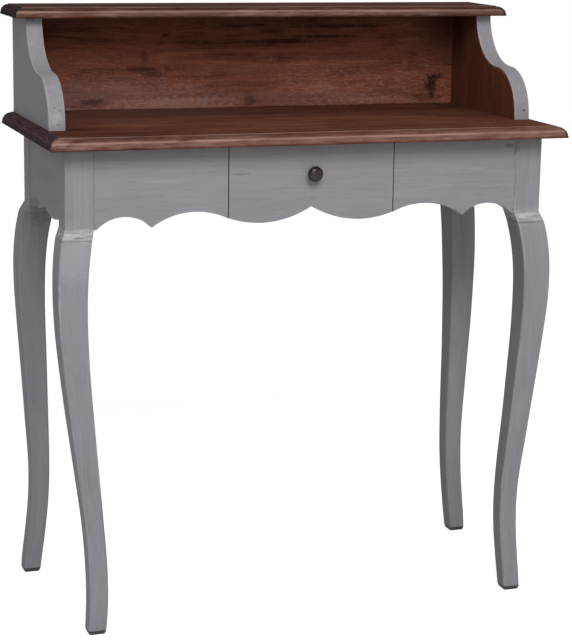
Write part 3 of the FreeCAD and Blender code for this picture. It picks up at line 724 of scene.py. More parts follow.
PANEL_STAIN = {
    "depth": 0.95, "end_depth": 1.0, "spread": 1.0, "streaky": 0.3,
    "speckle": 0.48, "flecked": 0.0, "corner_shade": 0.6,
    "marks": (
        on_panel(DUST, -0.270, 0.785, 0.200, 0.032, 0.36),
        on_panel(DUST, 0.050, 0.775, 0.200, 0.020, 0.2),
        on_panel(PALE, -0.130, 0.770, 0.120, 0.013, 0.24),
        on_panel(PALE, -0.316, 0.766, 0.024, 0.0025, 0.3),
        on_panel(PALE, 0.230, 0.772, 0.080, 0.006, 0.14),
        on_panel(KNOT, -0.144, 0.884, 0.008, 0.0035, 0.8),
        on_panel(KNOT, -0.179, 0.852, 0.008, 0.016, 0.4),
        on_panel(KNOT, -0.184, 0.829, 0.024, 0.006, 0.5),
        on_panel(KNOT, -0.164, 0.821, 0.020, 0.005, 0.5),
        on_panel(KNOT, -0.266, 0.776, 0.026, 0.007, 0.6),
        on_panel(KNOT, -0.320, 0.770, 0.050, 0.004, 0.4),
        on_panel(KNOT, 0.002, 0.773, 0.010, 0.012, 0.5),
        on_panel(KNOT, 0.332, 0.796, 0.013, 0.018, 0.85),
        on_panel(KNOT, 0.341, 0.810, 0.018, 0.006, 0.7),
        on_panel(KNOT, 0.320, 0.775, 0.040, 0.006, 0.4),
        on_panel(KNOT, 0.060, 0.872, 0.070, 0.0035, 0.8),
        on_panel(KNOT, 0.134, 0.880, 0.060, 0.003, 0.7),
        on_panel(KNOT, 0.156, 0.897, 0.090, 0.004, 0.7),
        # A dark line along the panel's foot, where it meets the top
        on_panel(KNOT, 0.000, 0.763, 1.600, 0.0016, 0.7),
    ),
}


@made_once
def bare(tree, shader, wood, along):
    """Unfinished pale wood with the grain along one of the desk's axes."""
    parts = tree.split(tree.place())
    turned = tree.joined(*[parts[axis] for axis in (X, Y, Z) if axis != along], parts[along])
    figure = tree.group("Wood grain", grain=turned)
    tones = ((0.38, tint(wood.bare, 0.7)), (0.5, tint(wood.bare)), (0.62, tint(wood.bare, 1.16)))
    coat = Coat(tree, tree.ramp(figure["Tone"], *tones))
    coat.lay(tree.times(figure["Streaks"], 0.45), wood.bare, 0.62)
    coat.lay(tree.times(figure["Pores"], 0.4), wood.bare, 0.6)
    coat.lay(tree.fade(figure["Cloud"], 0.4, 0.75, most=0.35), wood.bare, 0.82)
    roughness = tree.fade(figure["Tone"], 0.3, 0.7, most=0.82, least=0.68)
    dress(tree, shader, coat.colour, roughness, figure["Height"], 0.3, 0.4 * MM)


@made_once
def bronzed(tree, shader, metal):
    """Dark bronzed metal: a violet-brown patina in patches, a blackened rim and a few bright specks."""
    patch = tree.noise(tree.place(), (160, 160, 160), detail=4.0, roughness=0.6)
    speck = tree.noise(tree.place(), (900, 900, 900), detail=2.0, roughness=0.7)
    coat = Coat(tree, tint(metal.patina))
    coat.lay(tree.fade(patch, 0.35, 0.68), metal.bronze)
    coat.lay(tree.times(tree.attribute("arris"), 0.85), metal.patina, 0.45)
    coat.lay(tree.fade(speck, 0.6, 0.72, most=0.5), metal.bright)
    roughness = tree.fade(patch, 0.3, 0.7, most=0.36, least=0.22)
    dress(tree, shader, coat.colour, roughness, speck, 0.15, 0.2 * MM)
    shader.inputs["Metallic"].default_value = 0.4
    shader.inputs["Specular IOR Level"].default_value = 0.3


@made_once
def plated(tree, shader, metal):
    """Zinc-plated screws: fine turned marks and dull patches."""
    turned = tree.noise(tree.place(), (300, 300, 2400), roughness=0.6)
    dull = tree.noise(tree.place(), (220, 220, 220))
    coat = Coat(tree, tint(metal.zinc))
    coat.lay(tree.fade(dull, 0.35, 0.7), metal.zinc, 0.6)
    roughness = tree.fade(turned, 0.3, 0.7, most=0.45, least=0.25)
    dress(tree, shader, coat.colour, roughness, turned, 0.2, 0.1 * MM)
    shader.inputs["Metallic"].default_value = 1.0


@made_once
def scuffed(tree, shader, metal):
    """Dark foot pads: scuffed brown-black with dusty edges."""
    scuff = tree.noise(tree.place(), (240, 240, 80), detail=4.0, roughness=0.7)
    coat = Coat(tree, tint(metal.pad))
    coat.lay(tree.fade(scuff, 0.3, 0.75), metal.pad, 1.7)
    coat.lay(tree.times(tree.attribute("arris"), tree.fade(scuff, 0.4, 0.65, most=0.5)), metal.dust)
    roughness = tree.fade(scuff, 0.3, 0.7, most=0.75, least=0.55)
    dress(tree, shader, coat.colour, roughness, scuff, 0.25, 0.3 * MM)


# Sizes and colours that a user would change


def number(name, description, value, **limits):
    """A number with its limits or its unit."""
    return bpy.props.FloatProperty(name=name, description=description, default=value, **limits)


def length(name, description, millimetres):
    """A length, shown in the scene's units."""
    return number(name, description, millimetres * MM, min=0, unit="LENGTH", subtype="DISTANCE")


def angle(name, description, degrees):
    """An angle, given in degrees."""
    return number(name, description, math.radians(degrees), subtype="ANGLE")


def watts(name, description, amount):
    """A lamp's power."""
    return number(name, description, amount, min=0, unit="POWER")


def shade(name, description, red, green, blue):
    """A colour from its display values of 0 to 255, kept as light."""
    shown = np.array([red, green, blue]) / 255
    light = np.where(shown <= 0.04045, shown / 12.92, ((shown + 0.055) / 1.055) ** 2.4)
    return bpy.props.FloatVectorProperty(
        name=name, description=description, default=light.tolist(), size=3, subtype="COLOR", min=0, max=1)


class DeskPaint(bpy.types.PropertyGroup):
    """Colours of the brushed paint."""

    body: shade("Paint", "Grey of the painted frame", 145, 142, 147)
    # The rubbed colour also paints light: a pale patch on the front left knee
    rubbed: shade("Rubbed paint", "Pale paint along worn arrises", 195, 192, 197)
    # This colour also paints shade: the band under the top and the dark painted shadow marks
    glaze_and_shade: shade("Glaze", "Blue-black glaze smeared under the top", 72, 72, 80)
    bare: shade("Bare wood", "Brown wood where an arris has lost its paint", 122, 92, 74)
    scuff: shade("Scuffs", "Earthy marks on knees and posts", 84, 78, 70)


class DeskWood(bpy.types.PropertyGroup):
    """Colours of the stained and of the bare wood."""

    dark: shade("Dark grain", "Darkest lines of the stained wood", 68, 34, 25)
    middle: shade("Stain", "Main colour of the stained wood", 115, 66, 49)
    light: shade("Light grain", "Palest lines of the stained wood", 138, 87, 67)
    # The rubbed colour also paints the highlight along the mouldings' noses
    rubbed: shade("Rubbed edges", "Stain worn thin along the edges", 174, 140, 128)
    speckle: shade("Speckle", "Short pale dashes in the panel", 150, 112, 98)
    ends: shade("End grain", "Dark ends of the boards", 44, 34, 38)
    flecks: shade("Flecks", "Paler flecks in the end grain", 92, 76, 79)
    # The knot colour also paints shade in the upper right inside corner
    knot: shade("Knots", "Knots and dark streaks", 30, 16, 14)
    dust: shade("Dust", "Grey dust on the panel's foot and at the back of the top", 106, 90, 92)
    bare: shade("Bare wood", "Unfinished boards inside the frame", 196, 160, 118)


class DeskMetal(bpy.types.PropertyGroup):
    """Colours of the knob, the screws and the foot pads."""

    patina: shade("Patina", "Darkest colour of the knob", 34, 26, 30)
    bronze: shade("Bronze", "Browner patches of the knob", 54, 43, 49)
    bright: shade("Bright bronze", "Metal rubbed bright in specks on the knob", 104, 92, 88)
    zinc: shade("Zinc", "Plated screws", 196, 196, 190)
    pad: shade("Foot pad", "Dark pads under the feet", 26, 21, 20)
    dust: shade("Dust", "Dusty edges of the pads", 118, 108, 100)


class DeskShape(bpy.types.PropertyGroup):
    """Sizes of the arrises, the mouldings and the sawn edges."""

    arris: length("Arris", "Radius of the boards' worn arrises", 1.5)
    leg_arris: length("Leg arris", "Radius of the curved legs' corners", 3.4)
    post_arris: length("Post arris", "Radius of the square posts' corners", 1.5)
    pad_arris: length("Pad arris", "Radius of the foot pads' corners", 3.0)
    post_length: length("Post length", "Square post below the top", 121.0)
    shoulder_drop: length("Shoulder", "Sloping shoulder below the post", 16.0)
    top_round: length("Top round-over", "Width of the top's moulded edge", 15.0)
    shelf_round: length("Shelf round-over", "Width of the shelf's moulded edge", 13.0)
    lip: length("Lip", "Square lip under the moulded edges", 3.0)
    quirk: length("Quirk", "Small step where a moulding starts", 0.9)
    land_width: length("Land width", "Short level stretch beside a front post", 4.0)
    land_drop: length("Land drop", "That stretch below the top", 123.0)
    arch_inset: length("Arch inset", "First arch's crown from the post", 42.0)
    arch_drop: length("Arch drop", "First arch's crown below the top", 105.0)
    cusp_inset: length("Cusp inset", "Cusp from the post", 89.0)
    cusp_drop: length("Cusp drop", "Cusp below the top", 122.5)
    crest_inset: length("Crest inset", "Second arch's crown from the drawer", 61.0)
    crest_drop: length("Crest drop", "Second arch's crown below the top", 101.5)
    gap_drop: length("Gap drop", "Lower edge at the drawer's sides", 113.0)
    lobe_side: length("Lobe", "Drawer front's lobes from its middle", 76.0)
    lobe_drop: length("Lobe drop", "Drawer front's lobes below the top", 122.0)
    notch_drop: length("Notch drop", "Drawer front's notch below the top", 99.0)
    side_end_drop: length("Side end drop", "Side boards' lower edge at the posts", 110.0)
    side_lobe_side: length("Side lobe", "Side boards' lobes from their middle", 54.0)
    side_lobe_drop: length("Side lobe drop", "Side boards' lobes below the top", 118.0)
    side_notch_drop: length("Side notch drop", "Side boards' notch below the top", 105.0)
    nose_radius: length("Nose radius", "Outward curve of a bracket's front", 74.0)
    neck_radius: length("Neck radius", "Inward curve of a bracket's front", 88.0)
    ogee_height: length("Ogee height", "Where a bracket's curves meet, above the top", 79.5)
    ogee_from_back: length("Ogee depth", "Where a bracket's curves meet, from the back", 194.0)


class DeskStage(bpy.types.PropertyGroup):
    """Camera, light and floor."""

    camera: bpy.props.FloatVectorProperty(
        name="Camera", description="Where the camera stands", default=(-1.0061, -2.9345, 1.1180), size=3,
        subtype="XYZ", unit="LENGTH")
    yaw: angle("Yaw", "Camera's turn to the left", -19.14252)
    pitch: angle("Pitch", "Camera's tilt upwards", -12.41027)
    roll: angle("Roll", "Camera's lean", 0.92246)
    focal: number("Focal length", "In heights of the picture", 3.0452, min=0.5)
    key: watts("Key light", "Soft light from the front and above", 62.0)
    key_azimuth: angle("Key turn", "Key light's turn to the right", -8)
    key_elevation: angle("Key height", "Key light's height", 39)
    key_size: length("Key size", "Side of the square key light", 1350.0)
    fill: watts("Fill light", "Weak light from near the camera", 18.0)
    fill_azimuth: angle("Fill turn", "Fill light's turn to the right", -10)
    fill_elevation: angle("Fill height", "Fill light's height", 8)
    fill_size: length("Fill size", "Side of the square fill light", 2000.0)
    lamp_distance: length("Lamp distance", "Lamps from the desk", 3400.0)
    room: number("Room light", "Strength of the light all round", 0.35, min=0)


# Pieces


# How pale the shoulder, how dark its seam and how rubbed the corners are on the front and the back legs
LEG_WEAR = {"front": (0.9, 1.0, 0.66), "back": (0.3, 0.2, 0.42)}
# Wavelengths in metres over which a leg's corners swell and shrink
LEG_WAVES = (0.31, 0.12)


def leg_heights(foot, shoulder, post_foot, head):
    """Heights of a leg's rings: close together at its foot and at both edges of its shoulder."""
    return np.concatenate([
        foot + np.array([0.0, 0.4, 1.2, 3.0]) * MM,
        np.linspace(foot + 6 * MM, shoulder - 2 * MM, 150),
        shoulder + np.array([-1.0, 0.0, 1.2, 3.0]) * MM,
        np.linspace(shoulder + 5 * MM, post_foot - 2 * MM, 6),
        post_foot + np.array([-0.8, 0.0, 0.8, 3.0]) * MM,
        np.linspace(post_foot + 8 * MM, head, 12)])


def leg_sides(node, heights, shoulder):
    """Lowest and highest x and y of a leg at its rings: level cuts through its solid, smoothed along the
    curve and drawn in at the foot."""
    foot, head = heights[0], heights[-1]
    curve_end, foot_ease, foot_slope = shoulder - 4 * MM, 1.2 * MM, 0.6
    sides = level_box(node, np.clip(heights, foot + SLIVER, head - SLIVER))
    sides = np.array([np.where(heights < curve_end, smoothed(side, 4), side) for side in sides])
    return sides + INWARDS * np.clip(foot_ease - (heights - foot), 0, None) * foot_slope


class DESK_OT_legs(bpy.types.Operator):
    """Curved legs: rounded squares stacked up each leg, fitted to level cuts through its solid"""

    bl_idname = "desk.legs"
    bl_label = "Legs"

    def execute(self, context):
        shape = context.scene.desk_shape
        material = painted("brushed_paint", context.scene.desk_paint)
        post_foot = below(shape.post_length)
        shoulder = post_foot - shape.shoulder_drop
        slope_reach, seam_reach, unevenness = 9 * MM, 1.5 * MM, 0.18
        for seed, corner in enumerate(LEGS, start=1):
            node = f"leg_{corner}"
            heights = leg_heights(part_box(node)[0].z, shoulder, post_foot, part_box(node)[1].z)
            squareness = np.clip((heights - shoulder) / (post_foot - shoulder), 0, 1)
            radius = shape.leg_arris * (1 - squareness) + shape.post_arris * squareness
            radius *= 1 + unevenness * wobble(heights, seed, *LEG_WAVES)
            rings, middle, wear, outward = squared_rings(leg_sides(node, heights, shoulder), heights, radius)
            paleness, grime, rub = LEG_WEAR[corner.split("_")[0]]
            slope = bell(heights, (shoulder + post_foot) / 2, slope_reach) * paleness
            seam = bell(heights, shoulder, seam_reach) * grime
            # Painted shade mask: 1 on the faces of a leg that look in under the desk
            inner = np.clip(-np.sign(middle[0, X]) * outward[:, X], 0, 1)
            grain = rings.copy()
            grain[:, :, :2] -= middle[:, None]
            piece = ring_piece(
                f"{corner}_leg", rings, grain_place(grain, Z, seed), arris=wear * rub, pale=slope[:, None],
                seam=seam[:, None], inner=inner)
            stands_for(piece, node, "grey_paint", material)
        return {"FINISHED"}


# A foot pad's levels, as shares of its height, and how far its sides are drawn in there
PAD_LEVELS = np.array([1.0, 0.94, 0.8, 0.5, 0.25, 0.1, 0.03, 0.0])
PAD_TAPER = np.array([0.25, 0.0, 0.2, 0.85, 1.3, 1.6, 1.9, 2.4]) * MM


class DESK_OT_foot_pads(bpy.types.Operator):
    """Foot pads: a rounded square under each toe, drawn in towards the floor"""

    bl_idname = "desk.foot_pads"
    bl_label = "Foot pads"

    def execute(self, context):
        shape = context.scene.desk_shape
        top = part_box("foot_pads")[1].z
        heights = top * PAD_LEVELS
        radius = np.full(len(heights), shape.pad_arris)
        dusty_height, corner_rub, dust = 1 * MM, 0.25, 0.4
        dusty = (heights < dusty_height)[:, None]
        points, faces, wear = [], [], []
        for corner in LEGS:
            toe = level_box(f"leg_{corner}", np.array([top + SLIVER]))
            rings, _, rub, _ = squared_rings(toe + INWARDS * PAD_TAPER, heights, radius)
            rows, columns = rings.shape[:2]
            faces += ring_faces(rows, columns, len(points) * rows * columns)
            points.append(rings.reshape(-1, 3))
            wear.append(np.maximum(rub * corner_rub, dusty * dust).ravel())
        points = np.concatenate(points)
        piece = mesh_piece("feet_pads", points, faces, grain_place(points, Z, 3), arris=np.concatenate(wear))
        stands_for(piece, "foot_pads", "foot_pad", scuffed("foot_pad_scuffed", context.scene.desk_metal))
        return {"FINISHED"}


class DESK_OT_aprons(bpy.types.Operator):
    """Painted boards between the legs: scalloped at the front, lobed at the sides and straight at the back"""

    bl_idname = "desk.aprons"
    bl_label = "Aprons"

    def execute(self, context):
        shape = context.scene.desk_shape
        material = painted("brushed_paint", context.scene.desk_paint)
        post_x, post_y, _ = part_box("leg_back_right")[0]
        front_low, front_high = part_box("front_apron_right")
        gap_x, thick = front_low.x, front_high.y - front_low.y
        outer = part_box("side_apron_right")[1].x
        front_path = [
            (gap_x, UNDERSIDE),
            (post_x, UNDERSIDE),
            (post_x, below(shape.land_drop)),
            (post_x - shape.land_width, below(shape.land_drop),
             (post_x - shape.arch_inset, below(shape.arch_drop))),
            (post_x - shape.cusp_inset, below(shape.cusp_drop),
             (gap_x + shape.crest_inset, below(shape.crest_drop))),
            (gap_x, below(shape.gap_drop)),
        ]
        side_path = [
            (-post_y, UNDERSIDE),
            (-post_y, below(shape.side_end_drop), (-shape.side_lobe_side, below(shape.side_lobe_drop))),
            (0.0, below(shape.side_notch_drop), (shape.side_lobe_side, below(shape.side_lobe_drop))),
            (post_y, below(shape.side_end_drop)),
            (post_y, UNDERSIDE),
        ]

        def front_joint(outline):
            """Ends at the posts, the stretch at the drawer and the edge under the top."""
            far = np.abs(outline[:, 0])
            return (far > post_x - BESIDE) | (far < gap_x + BESIDE) | (outline[:, 1] > UNDERSIDE - BESIDE)

        def side_joint(outline):
            """Ends at the posts and the edge under the top."""
            return (np.abs(outline[:, 0]) > post_y - BESIDE) | (outline[:, 1] > UNDERSIDE - BESIDE)

        for seed, (word, side) in enumerate(SIDES, start=7):
            path = mirrored(front_path, side)
            lay = facing_front(front_low.y)
            piece = eased_board(f"front_board_{word}", path, thick, lay, X, shape.arris, seed, front_joint)
            stands_for(piece, f"front_apron_{word}", "grey_paint", material)
            lay = facing_out(outer, side)
            piece = eased_board(
                f"side_board_{word}", side_path, thick, lay, Y, shape.arris, seed + 2, side_joint)
            stands_for(piece, f"side_apron_{word}", "grey_paint", material)

        low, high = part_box("back_apron")
        path = [(-post_x, low.z), (post_x, low.z), (post_x, high.z), (-post_x, high.z)]
        lay = facing_front(low.y)
        piece = eased_board(
            "back_board", path, high.y - low.y, lay, X, shape.arris, seed=11, joint=front_joint)
        stands_for(piece, "back_apron", "grey_paint", material)
        return {"FINISHED"}


class DESK_OT_drawer_front(bpy.types.Operator):
    """Drawer front: two lobes and a notch under a straight head, with rebated ends for the drawer's sides"""

    bl_idname = "desk.drawer_front"
    bl_label = "Drawer front"

    def execute(self, context):
        shape = context.scene.desk_shape
        seed = 12
        low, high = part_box("drawer_front")
        side_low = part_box("drawer_side_right")[0]
        path = [
            (low.x, high.z),
            (low.x, below(shape.gap_drop), (-shape.lobe_side, below(shape.lobe_drop))),
            (0.0, below(shape.notch_drop), (shape.lobe_side, below(shape.lobe_drop))),
            (high.x, below(shape.gap_drop)),
            (high.x, high.z),
        ]
        outline = outline_of(path)
        tight = (np.abs(outline[:, 0]) > high.x - BESIDE) | (outline[:, 1] > high.z - BESIDE)
        rings, wear = eased_rings(outline, high.y - low.y, shape.arris, tight.astype(float), seed)
        shoulder = rings[FACE_RINGS - 1:FACE_RINGS].copy()
        shoulder[..., 2] = side_low.y - low.y
        tongue = rings[FACE_RINGS:].copy()
        tongue[..., 0] = np.clip(tongue[..., 0], -side_low.x, side_low.x)
        root = tongue[:1].copy()
        root[..., 2] = shoulder[..., 2]
        rings = facing_front(low.y)(np.concatenate([rings[:FACE_RINGS], shoulder, root, tongue]))
        wear = np.concatenate([wear[:FACE_RINGS], np.zeros_like(wear[:2]), wear[FACE_RINGS:]])
        piece = ring_piece("drawer_face", rings, grain_place(rings, X, seed), arris=wear)
        stands_for(piece, "drawer_front", "grey_paint", painted("brushed_paint", context.scene.desk_paint))
        return {"FINISHED"}


# The knob's profile from its foot to its crown, as shares of its radius and of its depth
KNOB_PROFILE = np.array([
    [0.30, 0.000], [0.56, 0.000], [0.583, 0.02], [0.583, 0.07], [0.55, 0.10], [0.46, 0.14], [0.42, 0.22],
    [0.415, 0.32], [0.44, 0.42], [0.52, 0.51], [0.68, 0.575], [0.86, 0.61], [0.95, 0.635], [0.99, 0.675],
    [1.00, 0.72], [0.99, 0.765], [0.955, 0.80], [0.93, 0.812], [0.905, 0.815], [0.885, 0.808],
    [0.865, 0.822], [0.83, 0.85], [0.76, 0.885], [0.64, 0.925], [0.48, 0.96], [0.30, 0.985], [0.14, 0.997],
    [0.03, 1.0]])
KNOB_STEPS = 64
# Where the blackened rim starts and how soon it is full, as shares of the radius
RIM_START, RIM_SPREAD = 0.8, 0.12


class DESK_OT_knob(bpy.types.Operator):
    """Drawer knob: a turned profile of foot, waist, beaded rim and low crown, carried round a circle"""

    bl_idname = "desk.knob"
    bl_label = "Knob"

    def execute(self, context):
        low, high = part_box("drawer_knob")
        rim = np.clip((KNOB_PROFILE[:, 0] - RIM_START) / RIM_SPREAD, 0, 1)
        turn = np.linspace(0, 2 * math.pi, KNOB_STEPS, endpoint=False)[None]
        out = KNOB_PROFILE[:, :1] * high.x
        forward = np.broadcast_to(high.y - KNOB_PROFILE[:, 1:] * (high.y - low.y), (len(out), KNOB_STEPS))
        middle_z = (low.z + high.z) / 2
        rings = np.stack([out * np.cos(turn), forward, middle_z + out * np.sin(turn)], axis=-1)
        piece = ring_piece("turned_knob", rings, grain_place(rings, Y, 2), arris=rim[:, None])
        stands_for(piece, "drawer_knob", "knob_metal", bronzed("dark_bronze", context.scene.desk_metal))
        return {"FINISHED"}


# Points along a moulded board's front, right end, back and left end, and round its moulding and small arrises
EDGE_STEPS = (120, 48, 120, 48)
ROUND_STEPS, EASE_STEPS = 22, 4
# Wavelengths, as shares of an edge, over which it wavers
EDGE_WAVES = (0.33, 0.13, 0.07)


def moulding(thick, round_over, lip, quirk, brow_wear):
    """A moulded edge from the underside up: how far it is drawn in, its height, and its wear with a painted
    highlight.

    It is a square lip with an eased arris and a narrow ledge, a quarter ellipse rubbed pale with a painted
    highlight line along its nose, and a small step at its brow."""
    turn = np.linspace(0, QUARTER, ROUND_STEPS)
    ease = np.linspace(0, QUARTER, EASE_STEPS)
    under, lip_arris, lip_ease, ledge = 2.0 * MM, 0.6 * MM, 0.3 * MM, 0.7 * MM
    hair, brow_arris, rim = 0.05 * MM, 0.5 * MM, 4 * MM
    lip_wear, edge_wear, ledge_wear, round_wear, nose_highlight = 0.35, 0.4, 0.3, 0.5, 0.55
    inset = np.concatenate([
        [under], lip_arris * (1 - np.sin(ease)), [0.0], [lip_ease / 2], [ledge],
        ledge + (round_over - ledge) * (1 - np.cos(turn)),
        [round_over + hair], round_over + 2 * hair + brow_arris * (1 - np.cos(ease)), [round_over + rim]])
    height = np.concatenate([
        [0.0], lip_arris * (1 - np.cos(ease)), [lip - lip_ease], [lip], [lip + hair],
        lip + hair + (thick - quirk - lip - hair) * np.sin(turn),
        [thick - quirk + hair], thick - brow_arris * (1 - np.sin(ease)), [thick]])
    highlight_turn, highlight_spread, brow_turn, brow_spread = np.radians([33, 6, 36, 10])
    # Painted highlight: a narrow bright line along the round-over's nose, where an arris would catch the
    # light, laid in with the wear
    nose = bell(turn, highlight_turn, highlight_spread)
    brow = np.clip((turn - brow_turn) / brow_spread, 0, 1)
    wear = np.concatenate([
        [0.0], lip_wear * np.sin(2 * ease), [lip_wear], [edge_wear], [ledge_wear],
        round_wear - (round_wear - brow_wear) * brow + nose_highlight * nose,
        [0.0], arris_wear(ease), [0.0]])
    return inset, height, wear


def moulded_board(name, node, round_over, shape, brow_wear, material, seed):
    """A board with a moulded front and ends: rectangles drawn in along the moulding's profile.

    Each ring runs along the front, the right end, the back and the left end; the back stays straight, and the
    front and ends waver a little inwards."""
    low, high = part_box(node)
    inset, height, wear = moulding(high.z - low.z, round_over, shape.lip, shape.quirk, brow_wear)
    back_ease, waver, end_sparing = np.array([0.4, 0.6]) * MM, 0.35 * MM, 0.7
    left, right = low.x + inset, high.x - inset
    front, back = low.y + inset, np.full(len(inset), high.y)
    back[[0, -1]] -= back_ease
    rectangle = ((left, front), (right, front), (right, back), (left, back))
    corners = [np.stack(corner, axis=1) for corner in rectangle]
    outward = np.array([(0, -1), (1, 0), (0, 0), (-1, 0)])
    runs, ends, hollow = [], [], []
    for edge, count in enumerate(EDGE_STEPS):
        share = np.linspace(0, 1, count, endpoint=False)
        start, finish = corners[edge], corners[(edge + 1) % 4]
        runs.append(start[:, None] * (1 - share)[None, :, None] + finish[:, None] * share[None, :, None])
        ends.append(np.full(count, abs(outward[edge, X])))
        dip = waver * np.sin(math.pi * share) * (1 + wobble(share, seed + edge, *EDGE_WAVES))
        hollow.append(-dip[:, None] * outward[edge])
    flat = np.concatenate(runs, axis=1) + np.concatenate(hollow)[None]
    rings = raised(flat, height + low.z)
    edged = ((inset < round_over + BESIDE) & (height > 0))[:, None]
    cut = np.concatenate(ends)[None] * edged
    wear = wear[:, None] * (1 - end_sparing * cut)
    piece = ring_piece(name, rings, grain_place(rings, X, seed), arris=wear, cut=cut)
    stands_for(piece, node, "stained_wood", material)


class DESK_OT_top_boards(bpy.types.Operator):
    """Desk top and raised shelf, both with a moulded front and ends"""

    bl_idname = "desk.top_boards"
    bl_label = "Top and shelf"

    def execute(self, context):
        shape = context.scene.desk_shape
        wood = context.scene.desk_wood
        material = stained("stained_top", wood, **TOP_STAIN)
        moulded_board(
            "writing_top", "desk_top", shape.top_round, shape, brow_wear=0.3, material=material, seed=21)
        material = stained("stained_shelf", wood, **SHELF_STAIN)
        moulded_board(
            "raised_shelf", "top_shelf", shape.shelf_round, shape, brow_wear=0.2, material=material, seed=22)
        return {"FINISHED"}


class DESK_OT_brackets(bpy.types.Operator):
    """Brackets under the shelf: an outward and an inward curve, painted outside and stained inside"""

    bl_idname = "desk.brackets"
    bl_label = "Brackets"

    def execute(self, context):
        shape = context.scene.desk_shape
        paint = painted("brushed_paint", context.scene.desk_paint)
        stain = stained("stained_bracket", context.scene.desk_wood, **BRACKET_STAIN)
        low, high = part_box("hutch_side_right")
        ogee_y = high.y - shape.ogee_from_back
        ogee_z = low.z + shape.ogee_height
        nose, neck = shape.nose_radius, shape.neck_radius
        nose_z, neck_z = ogee_z - nose, ogee_z + neck
        slant = math.sqrt(0.5)
        turned_in = 0.6
        path = [
            (high.y, low.z),
            (high.y, high.z),
            (ogee_y + math.sqrt(neck ** 2 - (neck_z - high.z) ** 2), high.z,
             (ogee_y + neck * slant, neck_z - neck * slant)),
            (ogee_y, ogee_z, (ogee_y - nose * slant, nose_z + nose * slant)),
            (ogee_y - math.sqrt(nose ** 2 - (nose_z - low.z) ** 2), low.z),
        ]

        def joint(outline):
            """Edges on the top and under the shelf."""
            return (outline[:, 1] < low.z + BESIDE) | (outline[:, 1] > high.z - BESIDE)

        for seed, (word, side) in enumerate(SIDES, start=15):
            lay = facing_out(high.x, side)
            piece = eased_board(f"bracket_{word}", path, high.x - low.x, lay, Z, shape.arris, seed, joint)
            stands_for(piece, f"hutch_side_{word}", "grey_paint", paint, stain)
            normals = np.empty(len(piece.data.polygons) * 3, np.float32)
            piece.data.polygons.foreach_get("normal", normals)
            inside = normals.reshape(-1, 3)[:, X] * side < -turned_in
            piece.data.polygons.foreach_set("material_index", inside.astype(np.int32))
        return {"FINISHED"}


class DESK_OT_back_panel(bpy.types.Operator):
    """Stained panel housed between the brackets"""

    bl_idname = "desk.back_panel"
    bl_label = "Back panel"

    def execute(self, context):
        shape = context.scene.desk_shape
        low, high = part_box("hutch_back_panel")
        path = [(low.x, low.z), (high.x, low.z), (high.x, high.z), (low.x, high.z)]

        def housed(outline):
            """All of the edge, which meets other boards."""
            return np.ones(len(outline), bool)

        lay = facing_front(low.y)
        piece = eased_board("shelf_back", path, high.y - low.y, lay, X, shape.arris, seed=31, joint=housed)
        material = stained("stained_panel", context.scene.desk_wood, **PANEL_STAIN)
        stands_for(piece, "hutch_back_panel", "stained_wood", material)
        return {"FINISHED"}


# Boards and fixings that keep their solids: the bare ones by the way of their grain
BARE_BOARDS = {
    X: ["drawer_back", "drawer_bottom", *[f"corner_block_{corner}" for corner in LEGS]],
    Y: [
        "case_dowels", *both("drawer_partition"), *both("drawer_runner"), *both("drawer_stop"),
        *both("drawer_side")],
    Z: ["hutch_dowels", "shelf_dowels"],
}
SCREWS = ["top_screws", "runner_screws", "knob_screw"]


class DESK_OT_inside(bpy.types.Operator):
    """Bare wood on the drawer's box, the runners, the blocks and the dowels, and plating on the screws"""

    bl_idname = "desk.inside"
    bl_label = "Inside boards and fixings"

    def execute(self, context):
        wood = context.scene.desk_wood
        finishes = []
        for along, nodes in BARE_BOARDS.items():
            finishes.append((bare("bare_wood_" + "xyz"[along], wood, along), nodes))
        finishes.append((plated("plated_steel", context.scene.desk_metal), SCREWS))
        for material, nodes in finishes:
            for node in nodes:
                for slot in frame["nodes"][node].material_slots:
                    slot.material = material
        return {"FINISHED"}


# Stage


FLOOR_HALF = 9.0
# Grey of the floor towards the desk, its colour where it is seen, and its glow there
FLOOR_LIT, FLOOR_SEEN, FLOOR_GLOW = (0.5, 0.5, 0.5, 1), (0.95, 0.95, 0.95, 1), 0.66
WHITE = (1, 1, 1, 1)
LAMP_AIM = Vector((0, 0, 0.5))


def seen_directly(tree):
    """1 on rays from the camera, glossy surfaces and clear ones; 0 on light that reaches the desk."""
    path = tree.add("ShaderNodeLightPath").outputs
    shiny = tree.math("MAXIMUM", path["Is Glossy Ray"], path["Is Transmission Ray"])
    return tree.math("MAXIMUM", path["Is Camera Ray"], shiny)


@made_once
def pale_ground(tree, shader):
    """A floor that is grey towards the desk, and nearly white and glowing where it is seen."""
    seen = seen_directly(tree)
    tree.feed(shader.inputs["Base Color"], tree.mix(seen, FLOOR_LIT, FLOOR_SEEN))
    shader.inputs["Roughness"].default_value = 1.0
    shader.inputs["Specular IOR Level"].default_value = 0.0
    shader.inputs["Emission Color"].default_value = WHITE
    tree.feed(shader.inputs["Emission Strength"], tree.times(seen, FLOOR_GLOW))


def lay_floor(scene):
    """A wide pale floor that takes the desk's shadow."""
    corners = [(x * FLOOR_HALF, y * FLOOR_HALF, 0) for x, y in ((-1, -1), (1, -1), (1, 1), (-1, 1))]
    mesh = bpy.data.meshes.new("floor")
    mesh.from_pydata(corners, [], [(0, 1, 2, 3)])
    floor = bpy.data.objects.new("floor", mesh)
    scene.collection.objects.link(floor)
    mesh.materials.append(pale_ground("pale_floor"))


def light_room(scene, stage):
    """Even light from all round, white where it is seen."""
    world = bpy.data.worlds.new("studio")
    world.use_nodes = True
    tree = Tree(world.node_tree)
    background = world.node_tree.nodes["Background"]
    background.inputs["Color"].default_value = WHITE
    tree.feed(background.inputs["Strength"], tree.fade(seen_directly(tree), 0.0, 1.0, least=stage.room))
    scene.world = world


